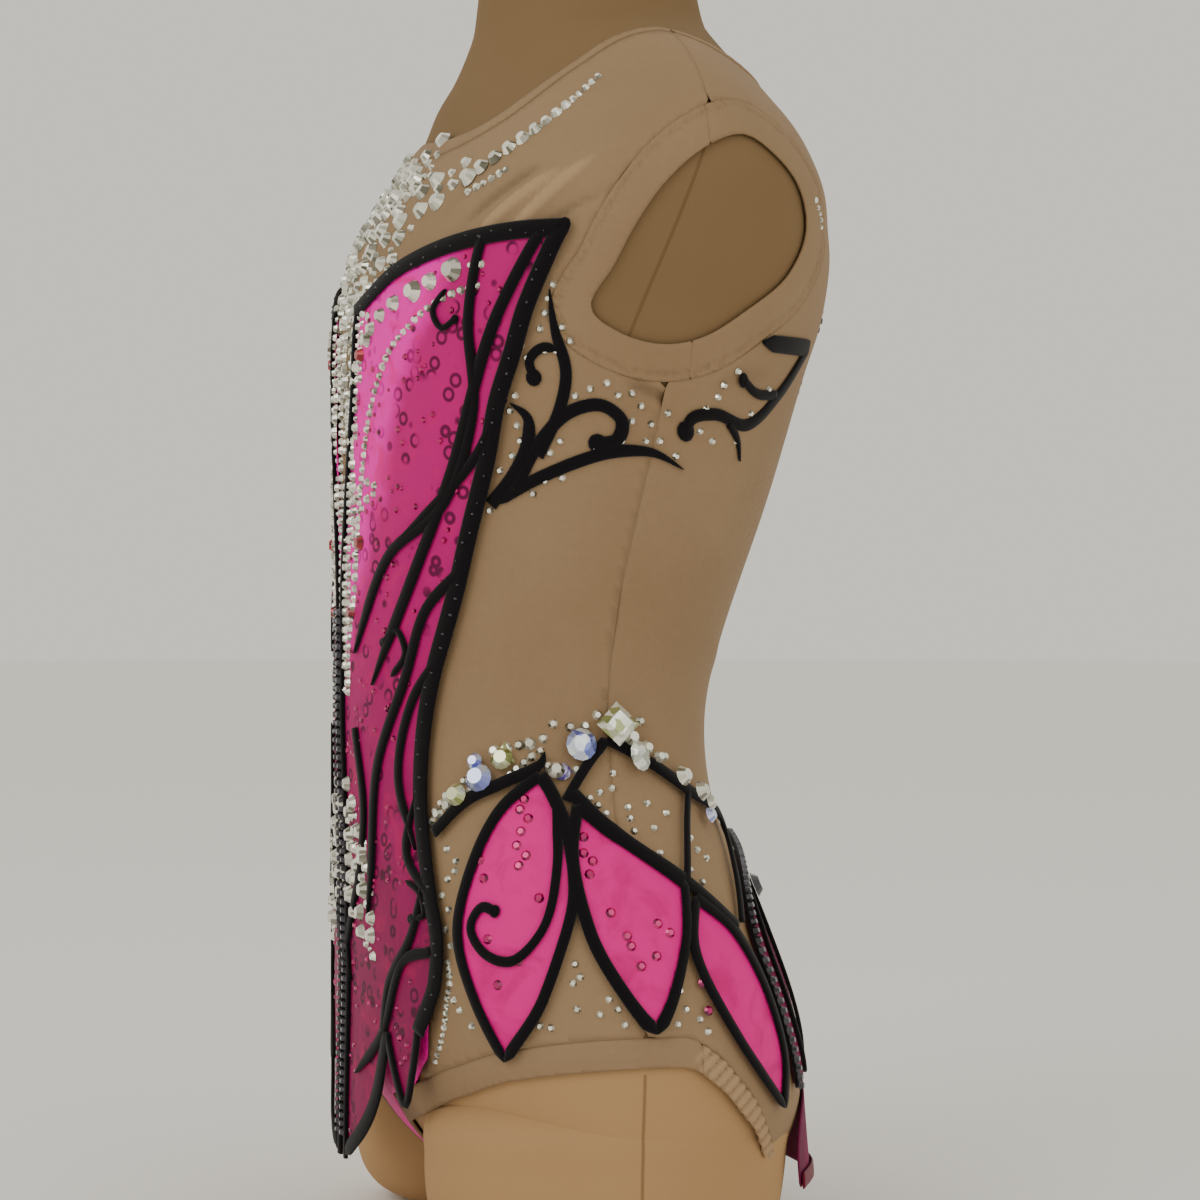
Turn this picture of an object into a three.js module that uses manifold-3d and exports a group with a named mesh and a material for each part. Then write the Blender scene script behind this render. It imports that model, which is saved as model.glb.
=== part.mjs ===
// A rhythmic gymnastics leotard on a limbless torso form. Millimetres, +Z up, front towards -Y,
// the wearer's left side towards +X, the form's stumps standing at z = 0.
import * as THREE from 'three';
import { mergeVertices } from 'three/addons/utils/BufferGeometryUtils.js';
import Module from 'manifold-3d';

const wasm = await Module();
wasm.setup();

// Layers, measured outwards from the form's surface.
const CLOTH_GAP = 0.8;
const CLOTH_WALL = 1.2;
const LAYER_GAP = 1.0;
const PANEL_WALL = 1.0;
const TRIM_GAP = 1.1;
const TRIM_WALL = 1.2;
const SEAM_GAP = 0.3;
const CLOTH_IN = CLOTH_GAP;
const CLOTH_OUT = CLOTH_GAP + CLOTH_WALL;
const PANEL_IN = CLOTH_OUT + LAYER_GAP;
const PANEL_OUT = PANEL_IN + PANEL_WALL;
const TRIM_IN = PANEL_OUT + TRIM_GAP;
const TRIM_OUT = TRIM_IN + TRIM_WALL;

// Widths of bindings and of velvet lines.
const ARM_BAND = 16;
const NECK_BAND = 5;
const LEG_BAND = 13;
const BORDER = 6.5;
const LINE = 4.2;

// How finely the form, the cloth and the pieces laid on it are divided.
const AROUND = 24;
const THIGH_AROUND = 12;
const PIECE_STEP = 20;
const PETAL_STEP = 14;
const SPINE_STEP = 16;
const HIP_STEP = 26;
const SKIRT_STEP = 26;
const HEIGHT_WEIGHT = 0.25;
const STROKE_STEP = 30;

// Moves the whole part so that the middle of its box lies on the Z axis.
const SHIFT_Y = -5.135;

// Level sections of the form's trunk. power is the squareness: 2 is an ellipse, less is a lozenge.
const TRUNK = [
  // z, halfWidth, front, back, middle, power
  [21, 30, -9, 30, 10, 2.0],
  [30, 105, -46, 68, 9, 2.0],
  [38, 132, -61, 84, 7, 2.1],
  [48, 141, -72, 92, 5, 2.2],
  [60, 144.5, -81, 96, 3, 2.3],
  [74, 146.5, -89, 98, 1, 2.3],
  [92, 148, -95, 96, 0, 2.3],
  [115, 147, -98, 90, -3, 2.3],
  [140, 142, -100, 81, -7, 2.3],
  [167, 134, -100, 70, -10, 2.3],
  [200, 121, -101, 59, -14, 2.2],
  [236, 107, -102, 57, -14, 2.2],
  [270, 105, -102, 64, -11, 2.2],
  [340, 118, -102, 88, -3, 2.2],
  [396, 132, -102, 104, 5, 2.2],
  [419, 139, -101, 111, 9, 2.2],
  [443, 149, -97, 113, 14, 2.2],
  [460, 155, -91, 112, 17, 2.1],
  [475, 158, -82, 109, 19, 2.1],
  [490, 156, -73, 104, 20, 2.0],
  [505, 148, -65, 101, 20, 1.75],
  [520, 133, -60, 95, 19, 1.55],
  [534, 112, -52, 87, 18, 1.5],
  [553, 74, -44, 72, 15, 1.7],
  [562, 57, -42, 66, 13, 1.9],
  [600, 50, -38, 58, 11, 2.0],
];

// Level sections of the left thigh stump, rounded under its edge and flat where it stands.
const THIGH = [
  // z, halfWidth, front, back, middleX
  [0, 42, -56, 52, 76],
  [2.5, 50, -64, 60, 76],
  [8, 58, -73, 69, 76],
  [17, 64, -79.5, 75.5, 76],
  [28, 67, -82.5, 78, 76],
  [46, 68, -83.5, 80, 76],
  [64, 67, -82, 80, 77],
  [84, 52, -60, 60, 78],
];

// Outline of the armhole in the side elevation.
const ARMHOLE = [
  // y, z
  [37, 491], [18, 484], [1, 469], [-11, 450], [-18, 434], [-26, 417],
  [-14, 407], [5, 402], [24, 405], [46, 418], [66, 434], [75, 456], [68, 471], [54, 483],
];

// Neckline in plan: a rounded oblong.
const NECK = { halfWidth: 92, front: -68, back: 79, power: 2.8 };

// Edge of the leg opening: its height in the front elevation, and in the side elevation.
const LEG_FRONT = [
  // x, z
  [12, 19], [12.5, 30], [22, 54], [60, 63], [105, 78], [125, 86], [150, 93], [220, 95],
];
const LEG_SIDE = [
  // y, z
  [-200, 120], [4, 120], [8, 94], [18, 91], [31, 81], [48, 62], [61, 38], [70, 22], [80, 16], [200, 15],
];

// Side seam and shoulder seam in the side elevation.
const SEAM = [
  // y, z
  [14, -40], [10, 30], [-4, 75], [-6, 123], [-12, 177], [-10, 245], [-6, 292], [4, 349], [12, 402],
  [22, 500], [24, 560], [24, 640],
];

// The side ornaments are drawn flat, as they look from a point VIEW_DISTANCE away, VIEW_TURN
// degrees round from the front: each pair in a drawing is mm right of and mm above the aim.
const VIEW_TURN = 74;
const VIEW_DISTANCE = 1500;
const AIM_ACROSS = 16.5;
const AIM_HEIGHT = 292;

// Below this height the front panels hang straight instead of following the body. The stiff pieces
// of the back and the panels stand off the mesh by their ease.
const HANG_HEIGHT = 125;
const BACK_EASE = 2.2;
const PANEL_EASE = 0.4;

const rad = THREE.MathUtils.degToRad;
const VIEW_SIN = Math.sin(rad(VIEW_TURN));
const VIEW_COS = Math.cos(rad(VIEW_TURN));

// One column of a table whose first column is height, on a smooth curve through its rows.
function column(table, index, z) {
  const last = table.length - 1;
  if (z <= table[0][0]) return table[0][index];
  if (z >= table[last][0]) return table[last][index];
  let i = 0;
  while (table[i + 1][0] < z) i += 1;
  const rise = (k) => {
    const a = Math.max(k - 1, 0);
    const b = Math.min(k + 1, last);
    return (table[b][index] - table[a][index]) / (table[b][0] - table[a][0]);
  };
  const h = table[i + 1][0] - table[i][0];
  const s = (z - table[i][0]) / h;
  const s2 = s * s;
  const s3 = s2 * s;
  return (2 * s3 - 3 * s2 + 1) * table[i][index] + (s3 - 2 * s2 + s) * h * rise(i)
    + (3 * s2 - 2 * s3) * table[i + 1][index] + (s3 - s2) * h * rise(i + 1);
}

// A point of the trunk's surface: angle 0 is centre front, a quarter turn is the left side.
function trunkPoint(angle, z, shapeZ = z) {
  const [a, front, back, middle, power] = [1, 2, 3, 4, 5].map((k) => column(TRUNK, k, shapeZ));
  const sin = Math.sin(angle);
  const cos = Math.cos(angle);
  const across = Math.sign(sin) * Math.abs(sin) ** (2 / power);
  const along = Math.sign(cos) * Math.abs(cos) ** (2 / power);
  const depth = cos > 0 ? middle - front : back - middle;
  return new THREE.Vector3(a * across, middle - depth * along, z);
}

// The same point moved out along the surface's normal. Below the height hang, cloth drops straight.
function trunkOut(angle, z, out, hang = 0) {
  const shape = (height) => Math.max(height, hang);
  const p = trunkPoint(angle, z, shape(z));
  const round = trunkPoint(angle + 0.02, z, shape(z)).sub(trunkPoint(angle - 0.02, z, shape(z)));
  const up = trunkPoint(angle, z + 0.6, shape(z + 0.6)).sub(trunkPoint(angle, z - 0.6, shape(z - 0.6)));
  return p.addScaledVector(round.cross(up).normalize(), out);
}

function thighPoint(angle, z) {
  const [a, front, back, middleX] = [1, 2, 3, 4].map((k) => column(THIGH, k, z));
  const y = -Math.cos(angle) * (back - front) / 2 + (front + back) / 2;
  return new THREE.Vector3(middleX + a * Math.sin(angle), y, z);
}

function thighOut(angle, z, out) {
  const p = thighPoint(angle, z);
  const round = thighPoint(angle + 0.02, z).sub(thighPoint(angle - 0.02, z));
  const low = Math.max(z - 0.6, 0);
  const up = thighPoint(angle, low + 1.2).sub(thighPoint(angle, low));
  return p.addScaledVector(round.cross(up).normalize(), out);
}

// Closed body from level rings, with a fan over each end.
function loft(rings) {
  const around = rings[0].length;
  const points = rings.flat();
  const faces = [];
  for (let r = 0; r < rings.length - 1; r += 1) {
    for (let k = 0; k < around; k += 1) {
      const next = (k + 1) % around;
      const [a, b] = [r * around + k, r * around + next];
      const [c, d] = [b + around, a + around];
      faces.push([a, b, c], [a, c, d]);
    }
  }
  const middle = (ring) => ring.reduce((sum, p) => sum.add(p), new THREE.Vector3()).divideScalar(around);
  const bottom = points.push(middle(rings[0])) - 1;
  const top = points.push(middle(rings[rings.length - 1])) - 1;
  const lastRow = (rings.length - 1) * around;
  for (let k = 0; k < around; k += 1) {
    const next = (k + 1) % around;
    faces.push([bottom, next, k], [top, lastRow + k, lastRow + next]);
  }
  return solid(points, faces);
}

function solid(points, faces) {
  return new wasm.Manifold(new wasm.Mesh({
    numProp: 3,
    vertProperties: new Float32Array(points.flatMap((p) => [p.x, p.y, p.z])),
    triVerts: new Uint32Array(faces.flat()),
  }));
}

function fromGeometry(geometry) {
  geometry.deleteAttribute('normal');
  geometry.deleteAttribute('uv');
  const merged = mergeVertices(geometry, 1e-4);
  return new wasm.Manifold(new wasm.Mesh({
    numProp: 3,
    vertProperties: new Float32Array(merged.attributes.position.array),
    triVerts: new Uint32Array(merged.index.array),
  }));
}

function toGeometry(manifold) {
  const mesh = manifold.getMesh();
  const geometry = new THREE.BufferGeometry();
  geometry.setAttribute('position', new THREE.BufferAttribute(new Float32Array(mesh.vertProperties), 3));
  geometry.setIndex(new THREE.BufferAttribute(new Uint32Array(mesh.triVerts), 1));
  return geometry.translate(0, SHIFT_Y, 0);
}

// The same body on the other side of the wearer.
function mirrored(manifold) {
  const mesh = manifold.getMesh();
  const points = mesh.vertProperties.map((value, i) => (i % 3 === 0 ? -value : value));
  const faces = new Uint32Array(mesh.triVerts);
  for (let i = 0; i < faces.length; i += 3) [faces[i + 1], faces[i + 2]] = [faces[i + 2], faces[i + 1]];
  return new wasm.Manifold(new wasm.Mesh({ numProp: 3, vertProperties: points, triVerts: faces }));
}

// Outline drawn in the side elevation, carried from one x to another.
function sidePrism(outline, fromX, toX) {
  const shape = new THREE.Shape(outline.map(([y, z]) => new THREE.Vector2(y, z)));
  const geometry = new THREE.ExtrudeGeometry(shape, { depth: toX - fromX, bevelEnabled: false });
  geometry.applyMatrix4(new THREE.Matrix4().set(0, 0, 1, fromX, 1, 0, 0, 0, 0, 1, 0, 0, 0, 0, 0, 1));
  return fromGeometry(geometry);
}

// Outline drawn in the front elevation, carried from one y to another.
function frontPrism(outline, fromY, toY) {
  const shape = new THREE.Shape(outline.map(([x, z]) => new THREE.Vector2(x, z)));
  const geometry = new THREE.ExtrudeGeometry(shape, { depth: toY - fromY, bevelEnabled: false });
  geometry.applyMatrix4(new THREE.Matrix4().set(1, 0, 0, 0, 0, 0, -1, toY, 0, 1, 0, 0, 0, 0, 0, 1));
  return fromGeometry(geometry);
}

// Angles of the lines along which the faces of form and cloth meet.
const foldAngles = Array.from({ length: AROUND }, (_, k) => ((k + 0.5) / AROUND) * 2 * Math.PI);

// The form's outer surface, or the same moved out: trunk and both thighs as one body.
function bodyAt(out) {
  const trunk = loft(TRUNK.map(([z]) => foldAngles.map((angle) => trunkOut(angle, z, out))));
  const thighAngles = Array.from({ length: THIGH_AROUND }, (_, k) => (k / THIGH_AROUND) * 2 * Math.PI);
  const rings = THIGH.map(([z]) => thighAngles.map((angle) => thighOut(angle, z, z > 0 ? out : 0)));
  const thigh = loft(rings);
  return trunk.add(thigh).add(mirrored(thigh));
}

const form = bodyAt(0);
const cloth = bodyAt(CLOTH_OUT).subtract(bodyAt(CLOTH_IN));

// The armhole as a closed ring of points in the side elevation, and the same made wider.
const armCurve = new THREE.CatmullRomCurve3(
  ARMHOLE.map(([y, z]) => new THREE.Vector3(y, z, 0)), true, 'centripetal');
const ARM_STEPS = 20;
function armRing(wider) {
  return Array.from({ length: ARM_STEPS }, (_, k) => {
    const at = k / ARM_STEPS;
    const p = armCurve.getPointAt(at);
    const along = armCurve.getTangentAt(at);
    return [p.x + along.y * wider, p.y - along.x * wider];
  });
}
const ARM_OUTWARD = THREE.ShapeUtils.isClockWise(ARMHOLE.map(([y, z]) => new THREE.Vector2(y, z))) ? -1 : 1;

// The neckline in plan, made wider by a margin.
function neckRing(wider, steps = 16) {
  const { halfWidth, front, back, power } = NECK;
  const middle = (front + back) / 2;
  return Array.from({ length: steps }, (_, k) => {
    const angle = (k / steps) * 2 * Math.PI;
    const round = (value) => Math.sign(value) * Math.abs(value) ** (2 / power);
    const x = (halfWidth + wider) * round(Math.sin(angle));
    return [x, middle - ((back - front) / 2 + wider) * round(Math.cos(angle))];
  });
}
function neckPrism(wider) {
  const shape = new THREE.Shape(neckRing(wider).map(([x, y]) => new THREE.Vector2(x, y)));
  const geometry = new THREE.ExtrudeGeometry(shape, { depth: 160, bevelEnabled: false });
  geometry.translate(0, 0, 470);
  return fromGeometry(geometry);
}

// What the leg openings take away, with the edge moved up by a margin.
function legPrism(higher) {
  const sink = -60;
  const wide = 260;
  const raised = (line) => line.map(([at, z], i) => [at, i > 0 ? z + higher : z]);
  const left = raised(LEG_FRONT);
  const right = left.map(([x, z]) => [-x, z]).reverse();
  const front = frontPrism([[-wide, sink], [wide, sink], [wide, 120], ...left.reverse(), ...right.reverse(),
    [-wide, 120]], -wide, wide);
  const side = sidePrism([[-wide, sink], [wide, sink], ...raised(LEG_SIDE).reverse()], -wide, wide);
  return front.intersect(side);
}

const seamForward = [[-320, -40], ...SEAM, [-320, 640]];
const seamBack = [[320, 640], ...SEAM.map(([y, z]) => [y + SEAM_GAP, z]).reverse(), [320, -40]];

const group = new THREE.Group();

const NUDE = { color: 0x9d8763, roughness: 0.75, metalness: 0 };
const COVER = { color: 0x967a58, roughness: 0.8, metalness: 0 };

// The main body of a cut piece, without the slivers that a cut can leave beside it.
function withoutSlivers(manifold) {
  return manifold.decompose().reduce((a, b) => (a.volume() > b.volume() ? a : b));
}

function place(name, manifold, look) {
  const mesh = new THREE.Mesh(toGeometry(withoutSlivers(manifold)), new THREE.MeshStandardMaterial(look));
  mesh.name = name;
  group.add(mesh);
}

function placePair(name, manifold, look) {
  place(`${name}_left`, manifold, look);
  place(`${name}_right`, mirrored(manifold), look);
}

// Divides a body's long edges, so that a flat piece can bend. An edge is split in both of its faces.
function divided(manifold, longest) {
  const mesh = manifold.getMesh();
  const points = [];
  for (let i = 0; i < mesh.vertProperties.length; i += 3) {
    points.push(new THREE.Vector3(...mesh.vertProperties.slice(i, i + 3)));
  }
  let faces = [];
  for (let i = 0; i < mesh.triVerts.length; i += 3) faces.push([...mesh.triVerts.slice(i, i + 3)]);
  const reach = (a, b) => Math.hypot(
    points[a].x - points[b].x, HEIGHT_WEIGHT * (points[a].y - points[b].y));
  const keyOf = (a, b) => (a < b ? `${a},${b}` : `${b},${a}`);
  for (;;) {
    const edges = new Map();
    faces.forEach((face, f) => face.forEach((a, k) => {
      const b = face[(k + 1) % 3];
      if (reach(a, b) <= longest) return;
      if (!edges.has(keyOf(a, b))) edges.set(keyOf(a, b), { a, b, sides: [] });
      edges.get(keyOf(a, b)).sides.push([f, k]);
    }));
    if (edges.size === 0) break;
    const used = new Set();
    const added = [];
    [...edges.values()].sort((m, n) => reach(n.a, n.b) - reach(m.a, m.b)).forEach(({ a, b, sides }) => {
      if (sides.some(([f]) => used.has(f))) return;
      const half = points.push(points[a].clone().lerp(points[b], 0.5)) - 1;
      sides.forEach(([f, k]) => {
        used.add(f);
        const [p, q, r] = [faces[f][k], faces[f][(k + 1) % 3], faces[f][(k + 2) % 3]];
        added.push([p, half, r], [half, q, r]);
      });
    });
    faces = faces.filter((_, f) => !used.has(f)).concat(added);
  }
  return { points, faces };
}

// Flat cutting plane: x is the length round the body from centre front, y is height. The length is
// the angle times a mean radius, so that widths stay real.
function meanRadius(z) {
  return (column(TRUNK, 1, z) + (column(TRUNK, 3, z) - column(TRUNK, 2, z)) / 2) / 2;
}

// A place in the side drawing, as a place on the cutting plane.
function drawn(right, up, hang = 0) {
  let depth = 100;
  let angle = 0;
  let z = 0;
  for (let pass = 0; pass < 6; pass += 1) {
    const shrink = 1 - depth / VIEW_DISTANCE;
    const across = AIM_ACROSS + right * shrink;
    z = AIM_HEIGHT + up * shrink;
    const acrossAt = (a) => {
      const p = trunkOut(a, z, CLOTH_OUT, hang);
      return p.x * VIEW_COS + p.y * VIEW_SIN;
    };
    let low = rad(VIEW_TURN - 90);
    let high = rad(VIEW_TURN + 90);
    for (let i = 0; i < 24; i += 1) {
      angle = (low + high) / 2;
      if (acrossAt(angle) < across) low = angle;
      else high = angle;
    }
    const p = trunkOut(angle, z, CLOTH_OUT, hang);
    depth = p.x * VIEW_SIN - p.y * VIEW_COS;
  }
  return [angle * meanRadius(Math.max(z, hang)), z];
}

// Bends a flat body round the trunk: its own height becomes distance out from the form.
function wrapped(manifold, { hang = 0, flare = () => 0, longest = PIECE_STEP } = {}) {
  const { points, faces } = divided(manifold, longest);
  const bent = points.map((p) => {
    const angle = p.x / meanRadius(Math.max(p.y, hang));
    return trunkOut(angle, p.y, p.z + flare(angle, p.y), hang);
  });
  return solid(bent, faces);
}

// A flat plate with a given outline, between two levels.
function plate(outline, low, high) {
  const shape = new THREE.Shape(outline.map(([x, z]) => new THREE.Vector2(x, z)));
  const geometry = new THREE.ExtrudeGeometry(shape, { depth: high - low, bevelEnabled: false });
  geometry.translate(0, 0, low);
  return fromGeometry(geometry);
}

function curveThrough(places, closed = false) {
  const points = places.map(([x, z]) => new THREE.Vector3(x, z, 0));
  return new THREE.CatmullRomCurve3(points, closed, 'centripetal');
}

function sampled(places, step = STROKE_STEP) {
  const curve = curveThrough(places);
  const steps = Math.max(2, Math.round(curve.getLength() / step));
  return curve.getSpacedPoints(steps).map((p) => [p.x, p.y]);
}

// A velvet line: a flat strip along a curve, pointed at the ends that are asked for, with a round
// ball at its end where it curls.
function stroke(places, width, { startTip = 0, endTip = 0, ball = 0, step = STROKE_STEP } = {},
  low = TRIM_IN, high = TRIM_OUT) {
  const curve = curveThrough(places);
  const length = curve.getLength();
  const steps = Math.max(3, Math.round(length / step));
  const points = [];
  const faces = [];
  for (let i = 0; i <= steps; i += 1) {
    const at = i / steps;
    const p = curve.getPointAt(at);
    const along = curve.getTangentAt(at);
    const fromStart = startTip ? Math.min(1, (at * length + 0.4) / startTip) : 1;
    const fromEnd = endTip ? Math.min(1, ((1 - at) * length + 0.4) / endTip) : 1;
    const half = (width / 2) * Math.min(fromStart, fromEnd);
    const aside = new THREE.Vector3(-along.y, along.x, 0).multiplyScalar(half);
    [[-1, low], [1, low], [1, high], [-1, high]].forEach(([side, level]) => {
      points.push(p.clone().addScaledVector(aside, side).setZ(level));
    });
    if (i === 0) continue;
    const now = 4 * i;
    for (let k = 0; k < 4; k += 1) {
      const next = (k + 1) % 4;
      faces.push([now - 4 + k, now - 4 + next, now + next], [now - 4 + k, now + next, now + k]);
    }
  }
  const last = 4 * steps;
  faces.push([0, 2, 1], [0, 3, 2], [last, last + 1, last + 2], [last, last + 2, last + 3]);
  const strip = solid(points, faces);
  if (!ball) return strip;
  const end = curve.getPointAt(1);
  const round = Array.from({ length: 8 }, (_, k) => {
    const angle = (k / 8) * 2 * Math.PI;
    return [end.x + ball * Math.cos(angle), end.y + ball * Math.sin(angle)];
  });
  return strip.add(plate(round, low, high));
}

function joined(bodies) {
  return bodies.reduce((sum, body) => sum.add(body));
}

const draw = (pairs, hang = 0) => pairs.map(([right, up]) => drawn(right, up, hang));

// Nude mesh front and back, and the pink brief with its narrow crotch piece between them.
const armCut = sidePrism(armRing(ARM_OUTWARD * (ARM_BAND + SEAM_GAP)), 40, 240);
const opened = cloth
  .subtract(neckPrism(NECK_BAND + SEAM_GAP))
  .subtract(armCut)
  .subtract(mirrored(armCut))
  .subtract(legPrism(LEG_BAND + SEAM_GAP));
const BRIEF = [
  // x, z
  [13, -40], [13, 30], [18, 46], [30, 62], [60, 74], [84, 92], [90, 118], [88, 150], [80, 176],
];
const BRIEF_BACK = 12;
function briefPrism(wider, reach) {
  const left = BRIEF.map(([x, z], i) => [x + wider, i === BRIEF.length - 1 ? z + wider : z]);
  return frontPrism([...left, ...left.map(([x, z]) => [-x, z]).reverse()], -240, reach);
}
const frontHalf = opened.intersect(sidePrism(seamForward, -260, 260));
place('torso_form', form, COVER);
place('front_body', frontHalf.subtract(briefPrism(SEAM_GAP, 60)), NUDE);
place('back_body', opened.intersect(sidePrism(seamBack, -260, 260)), NUDE);
const BRIEF_PINK = { color: 0xe0359a, roughness: 0.45, metalness: 0 };
place('brief_front', frontHalf.intersect(briefPrism(0, BRIEF_BACK)), BRIEF_PINK);

// Neck binding: a ring of the same cloth, folded over the neck edge.
place('neck_binding', cloth.intersect(neckPrism(NECK_BAND)).subtract(neckPrism(0)), NUDE);

// Armhole bands.
const armBand = cloth
  .intersect(sidePrism(armRing(ARM_OUTWARD * ARM_BAND), 40, 240))
  .subtract(sidePrism(armRing(0), 30, 250));
placePair('armhole_band', armBand, NUDE);

// Leg bindings, with gathers round the back of the thigh.
const leftSide = sidePrism([[-240, -40], [240, -40], [240, 200], [-240, 200]], 0.5, 240);
const legBand = cloth.intersect(legPrism(LEG_BAND)).subtract(legPrism(0)).intersect(leftSide);
placePair('leg_binding', legBand, NUDE);

// Front panels, left half: outer edge from the top corner down to the hanging points.
const PANEL_TOP = [[-106, 141], [-94, 153], [-80, 161], [-61, 168], [-37.6, 173], [-17, 175]];
const PANEL_OUTER = [[-17, 175], [-25, 160], [-33, 141], [-40, 117], [-47, 94], [-52, 66], [-61, 28],
  [-66, 5], [-71, -14], [-76, -33], [-80, -56], [-82, -85], [-81, -108], [-77, -141], [-74, -160],
  [-75, -181], [-82, -203]];
const POINT_OUTER = [[-82, -203], [-84, -222], [-87, -237], [-93, -221], [-97, -203]];
const POINT_INNER = [[-97, -203], [-99, -216], [-102, -233], [-107, -248]];
const PANEL_PINK = { color: 0xd0287f, roughness: 0.5, metalness: 0 };
const VELVET = { color: 0x0b0a0d, roughness: 0.95, metalness: 0 };
const INNER_EDGE = [[1, 36], [1, 120], [1, 200], [1, 250], [1.5, 300], [8, 345], [15, 385], [17, 422]];
const topEdge = [[17, 422], ...draw(PANEL_TOP, HANG_HEIGHT)];
const outerEdge = draw(PANEL_OUTER, HANG_HEIGHT);
const outerPoint = draw(POINT_OUTER, HANG_HEIGHT);
const innerPoint = [...draw(POINT_INNER, HANG_HEIGHT), [1, 36]];
const panelOutline = [
  ...sampled(topEdge, 24), ...sampled(outerEdge, 30).slice(1), ...sampled(outerPoint, 14).slice(1),
  ...sampled(innerPoint, 18).slice(1), ...sampled(INNER_EDGE, 40).slice(1, -1),
];
const panelEase = () => PANEL_EASE;
const flatPanel = plate(panelOutline, PANEL_IN, PANEL_OUT);
placePair('front_panel', wrapped(flatPanel, { hang: HANG_HEIGHT, flare: panelEase }), PANEL_PINK);

// Velvet borders of the panels and the long leaves inside them, kept inside the panels' edges.
const onPanel = (pairs) => draw(pairs, HANG_HEIGHT);
const inward = (edge, by) => edge.map(([x, z]) => [x + by, z]);
const panelLines = [
  stroke(inward(INNER_EDGE, 2.2), 3.4),
  stroke(topEdge, BORDER),
  stroke(outerEdge, BORDER + 1),
  stroke(outerPoint, 4),
  stroke([...innerPoint.slice(0, -1), [6, 39]], BORDER, { endTip: 6 }),
  stroke(onPanel([[-30, 160], [-52, 120], [-68, 60], [-86, 10], [-104, -40]]), LINE, { endTip: 20 }),
  stroke(onPanel([[-54, 165], [-60, 130], [-58, 90], [-72, 45], [-97, 20], [-112, -25]]), LINE),
  stroke(onPanel([[-63, 15], [-80, -5], [-90, -40], [-102, -80], [-104, -115], [-106, -150]]), LINE),
  stroke(onPanel([[-76, -165], [-90, -170], [-99, -203], [-110, -222]]), LINE),
];
placePair('panel_trim', wrapped(joined(panelLines), { hang: HANG_HEIGHT, flare: panelEase }), VELVET);

// Velvet scrolls on the mesh in front of and behind the side seam.
const onMesh = [PANEL_IN, PANEL_IN + TRIM_WALL];
const frontScroll = [
  stroke(draw([[-23.5, 147], [-21, 127], [-16, 108], [-19, 90], [-29, 68]]), LINE,
    { startTip: 16 }, ...onMesh),
  stroke(draw([[-19, 118], [-27, 119], [-33, 113], [-31, 105]]), 3.2,
    { startTip: 4, ball: 3, step: 6 }, ...onMesh),
  stroke(draw([[-42, 93], [-34, 86], [-34, 74], [-40, 60], [-51, 45]]), LINE, { startTip: 12 }, ...onMesh),
  stroke(draw([[-40, 52], [-28, 75], [-14, 89], [1, 92], [10, 85], [8, 76], [-1, 74]]), LINE,
    { ball: 3.4, step: 9 }, ...onMesh),
  stroke(draw([[-51, 45], [-26, 59], [5, 70], [24, 70], [39, 62]]), LINE, { endTip: 24 }, ...onMesh),
];
placePair('front_scroll', wrapped(joined(frontScroll)), VELVET);
const backScroll = [
  stroke(draw([[97, 119], [84, 98], [68, 83], [54, 88], [43, 86]]), LINE,
    { ball: 3.6, step: 8 }, ...onMesh),
  stroke(draw([[60, 84], [64, 76], [65, 66]]), 3.6, { endTip: 12, step: 9 }, ...onMesh),
  stroke(draw([[82, 97], [73, 98], [67, 104]]), 3.2, { ball: 2.8, step: 6 }, ...onMesh),
  stroke(draw([[97, 119], [84, 121], [76, 122]]), 6, { endTip: 9, step: 9 }, ...onMesh),
];
placePair('back_scroll', wrapped(joined(backScroll)), VELVET);

// Hip petals, each a pink plate from its top to its point and back.
const PETALS = {
  front: [[-28, -84], [-46, -100], [-59, -127], [-65, -155], [-57, -188], [-43, -216], [-26, -188],
    [-13, -146], [-15, -113], [-23, -92]],
  middle: [[-11, -98], [-13, -122], [-5, -157], [11, -186], [26, -204], [34, -186], [39, -160],
    [38, -135], [11, -115]],
  back: [[43, -141], [43, -165], [63, -206], [84, -238], [84, -214], [75, -183], [61, -157]],
};
const PETAL_PINK = { color: 0xde2378, roughness: 0.4, metalness: 0 };
const petalEdges = {};
Object.entries(PETALS).forEach(([where, pairs]) => {
  petalEdges[where] = draw(pairs);
  const flatPetal = plate(petalEdges[where], PANEL_IN, PANEL_OUT);
  placePair(`hip_petal_${where}`, wrapped(flatPetal, { longest: PETAL_STEP }), PETAL_PINK);
});

// Hip belt and petal outlines, one piece of velvet on each side.
const ring = (edge) => [...edge, edge[0]];
const hipLines = [
  stroke(ring(petalEdges.front), 5),
  stroke(ring(petalEdges.middle), 5),
  stroke(ring(petalEdges.back), 5),
  stroke(draw([[-76, -110], [-61, -95], [-44, -87], [-28, -79], [-26, -73]]), 5.6, { endTip: 8 }),
  stroke(draw([[-16, -96], [-7, -80], [2, -67], [20, -77], [38, -90], [55, -107], [61, -130], [64, -153]]),
    4.6),
  stroke(draw([[-14, -92], [9, -113], [39, -134], [62, -155]]), 5),
  stroke(draw([
    [-22, -90], [-20, -127], [-26, -155], [-40, -170], [-53, -166], [-59, -154], [-54, -145], [-48, -147],
  ]), LINE, { startTip: 20, ball: 2.4, step: 9 }),
];
const panelFence = stroke(outerEdge, BORDER + 1 + 2 * TRIM_GAP, {}, 0, TRIM_OUT + 5);
placePair('hip_trim', wrapped(joined(hipLines).subtract(panelFence)), VELVET);

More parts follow.
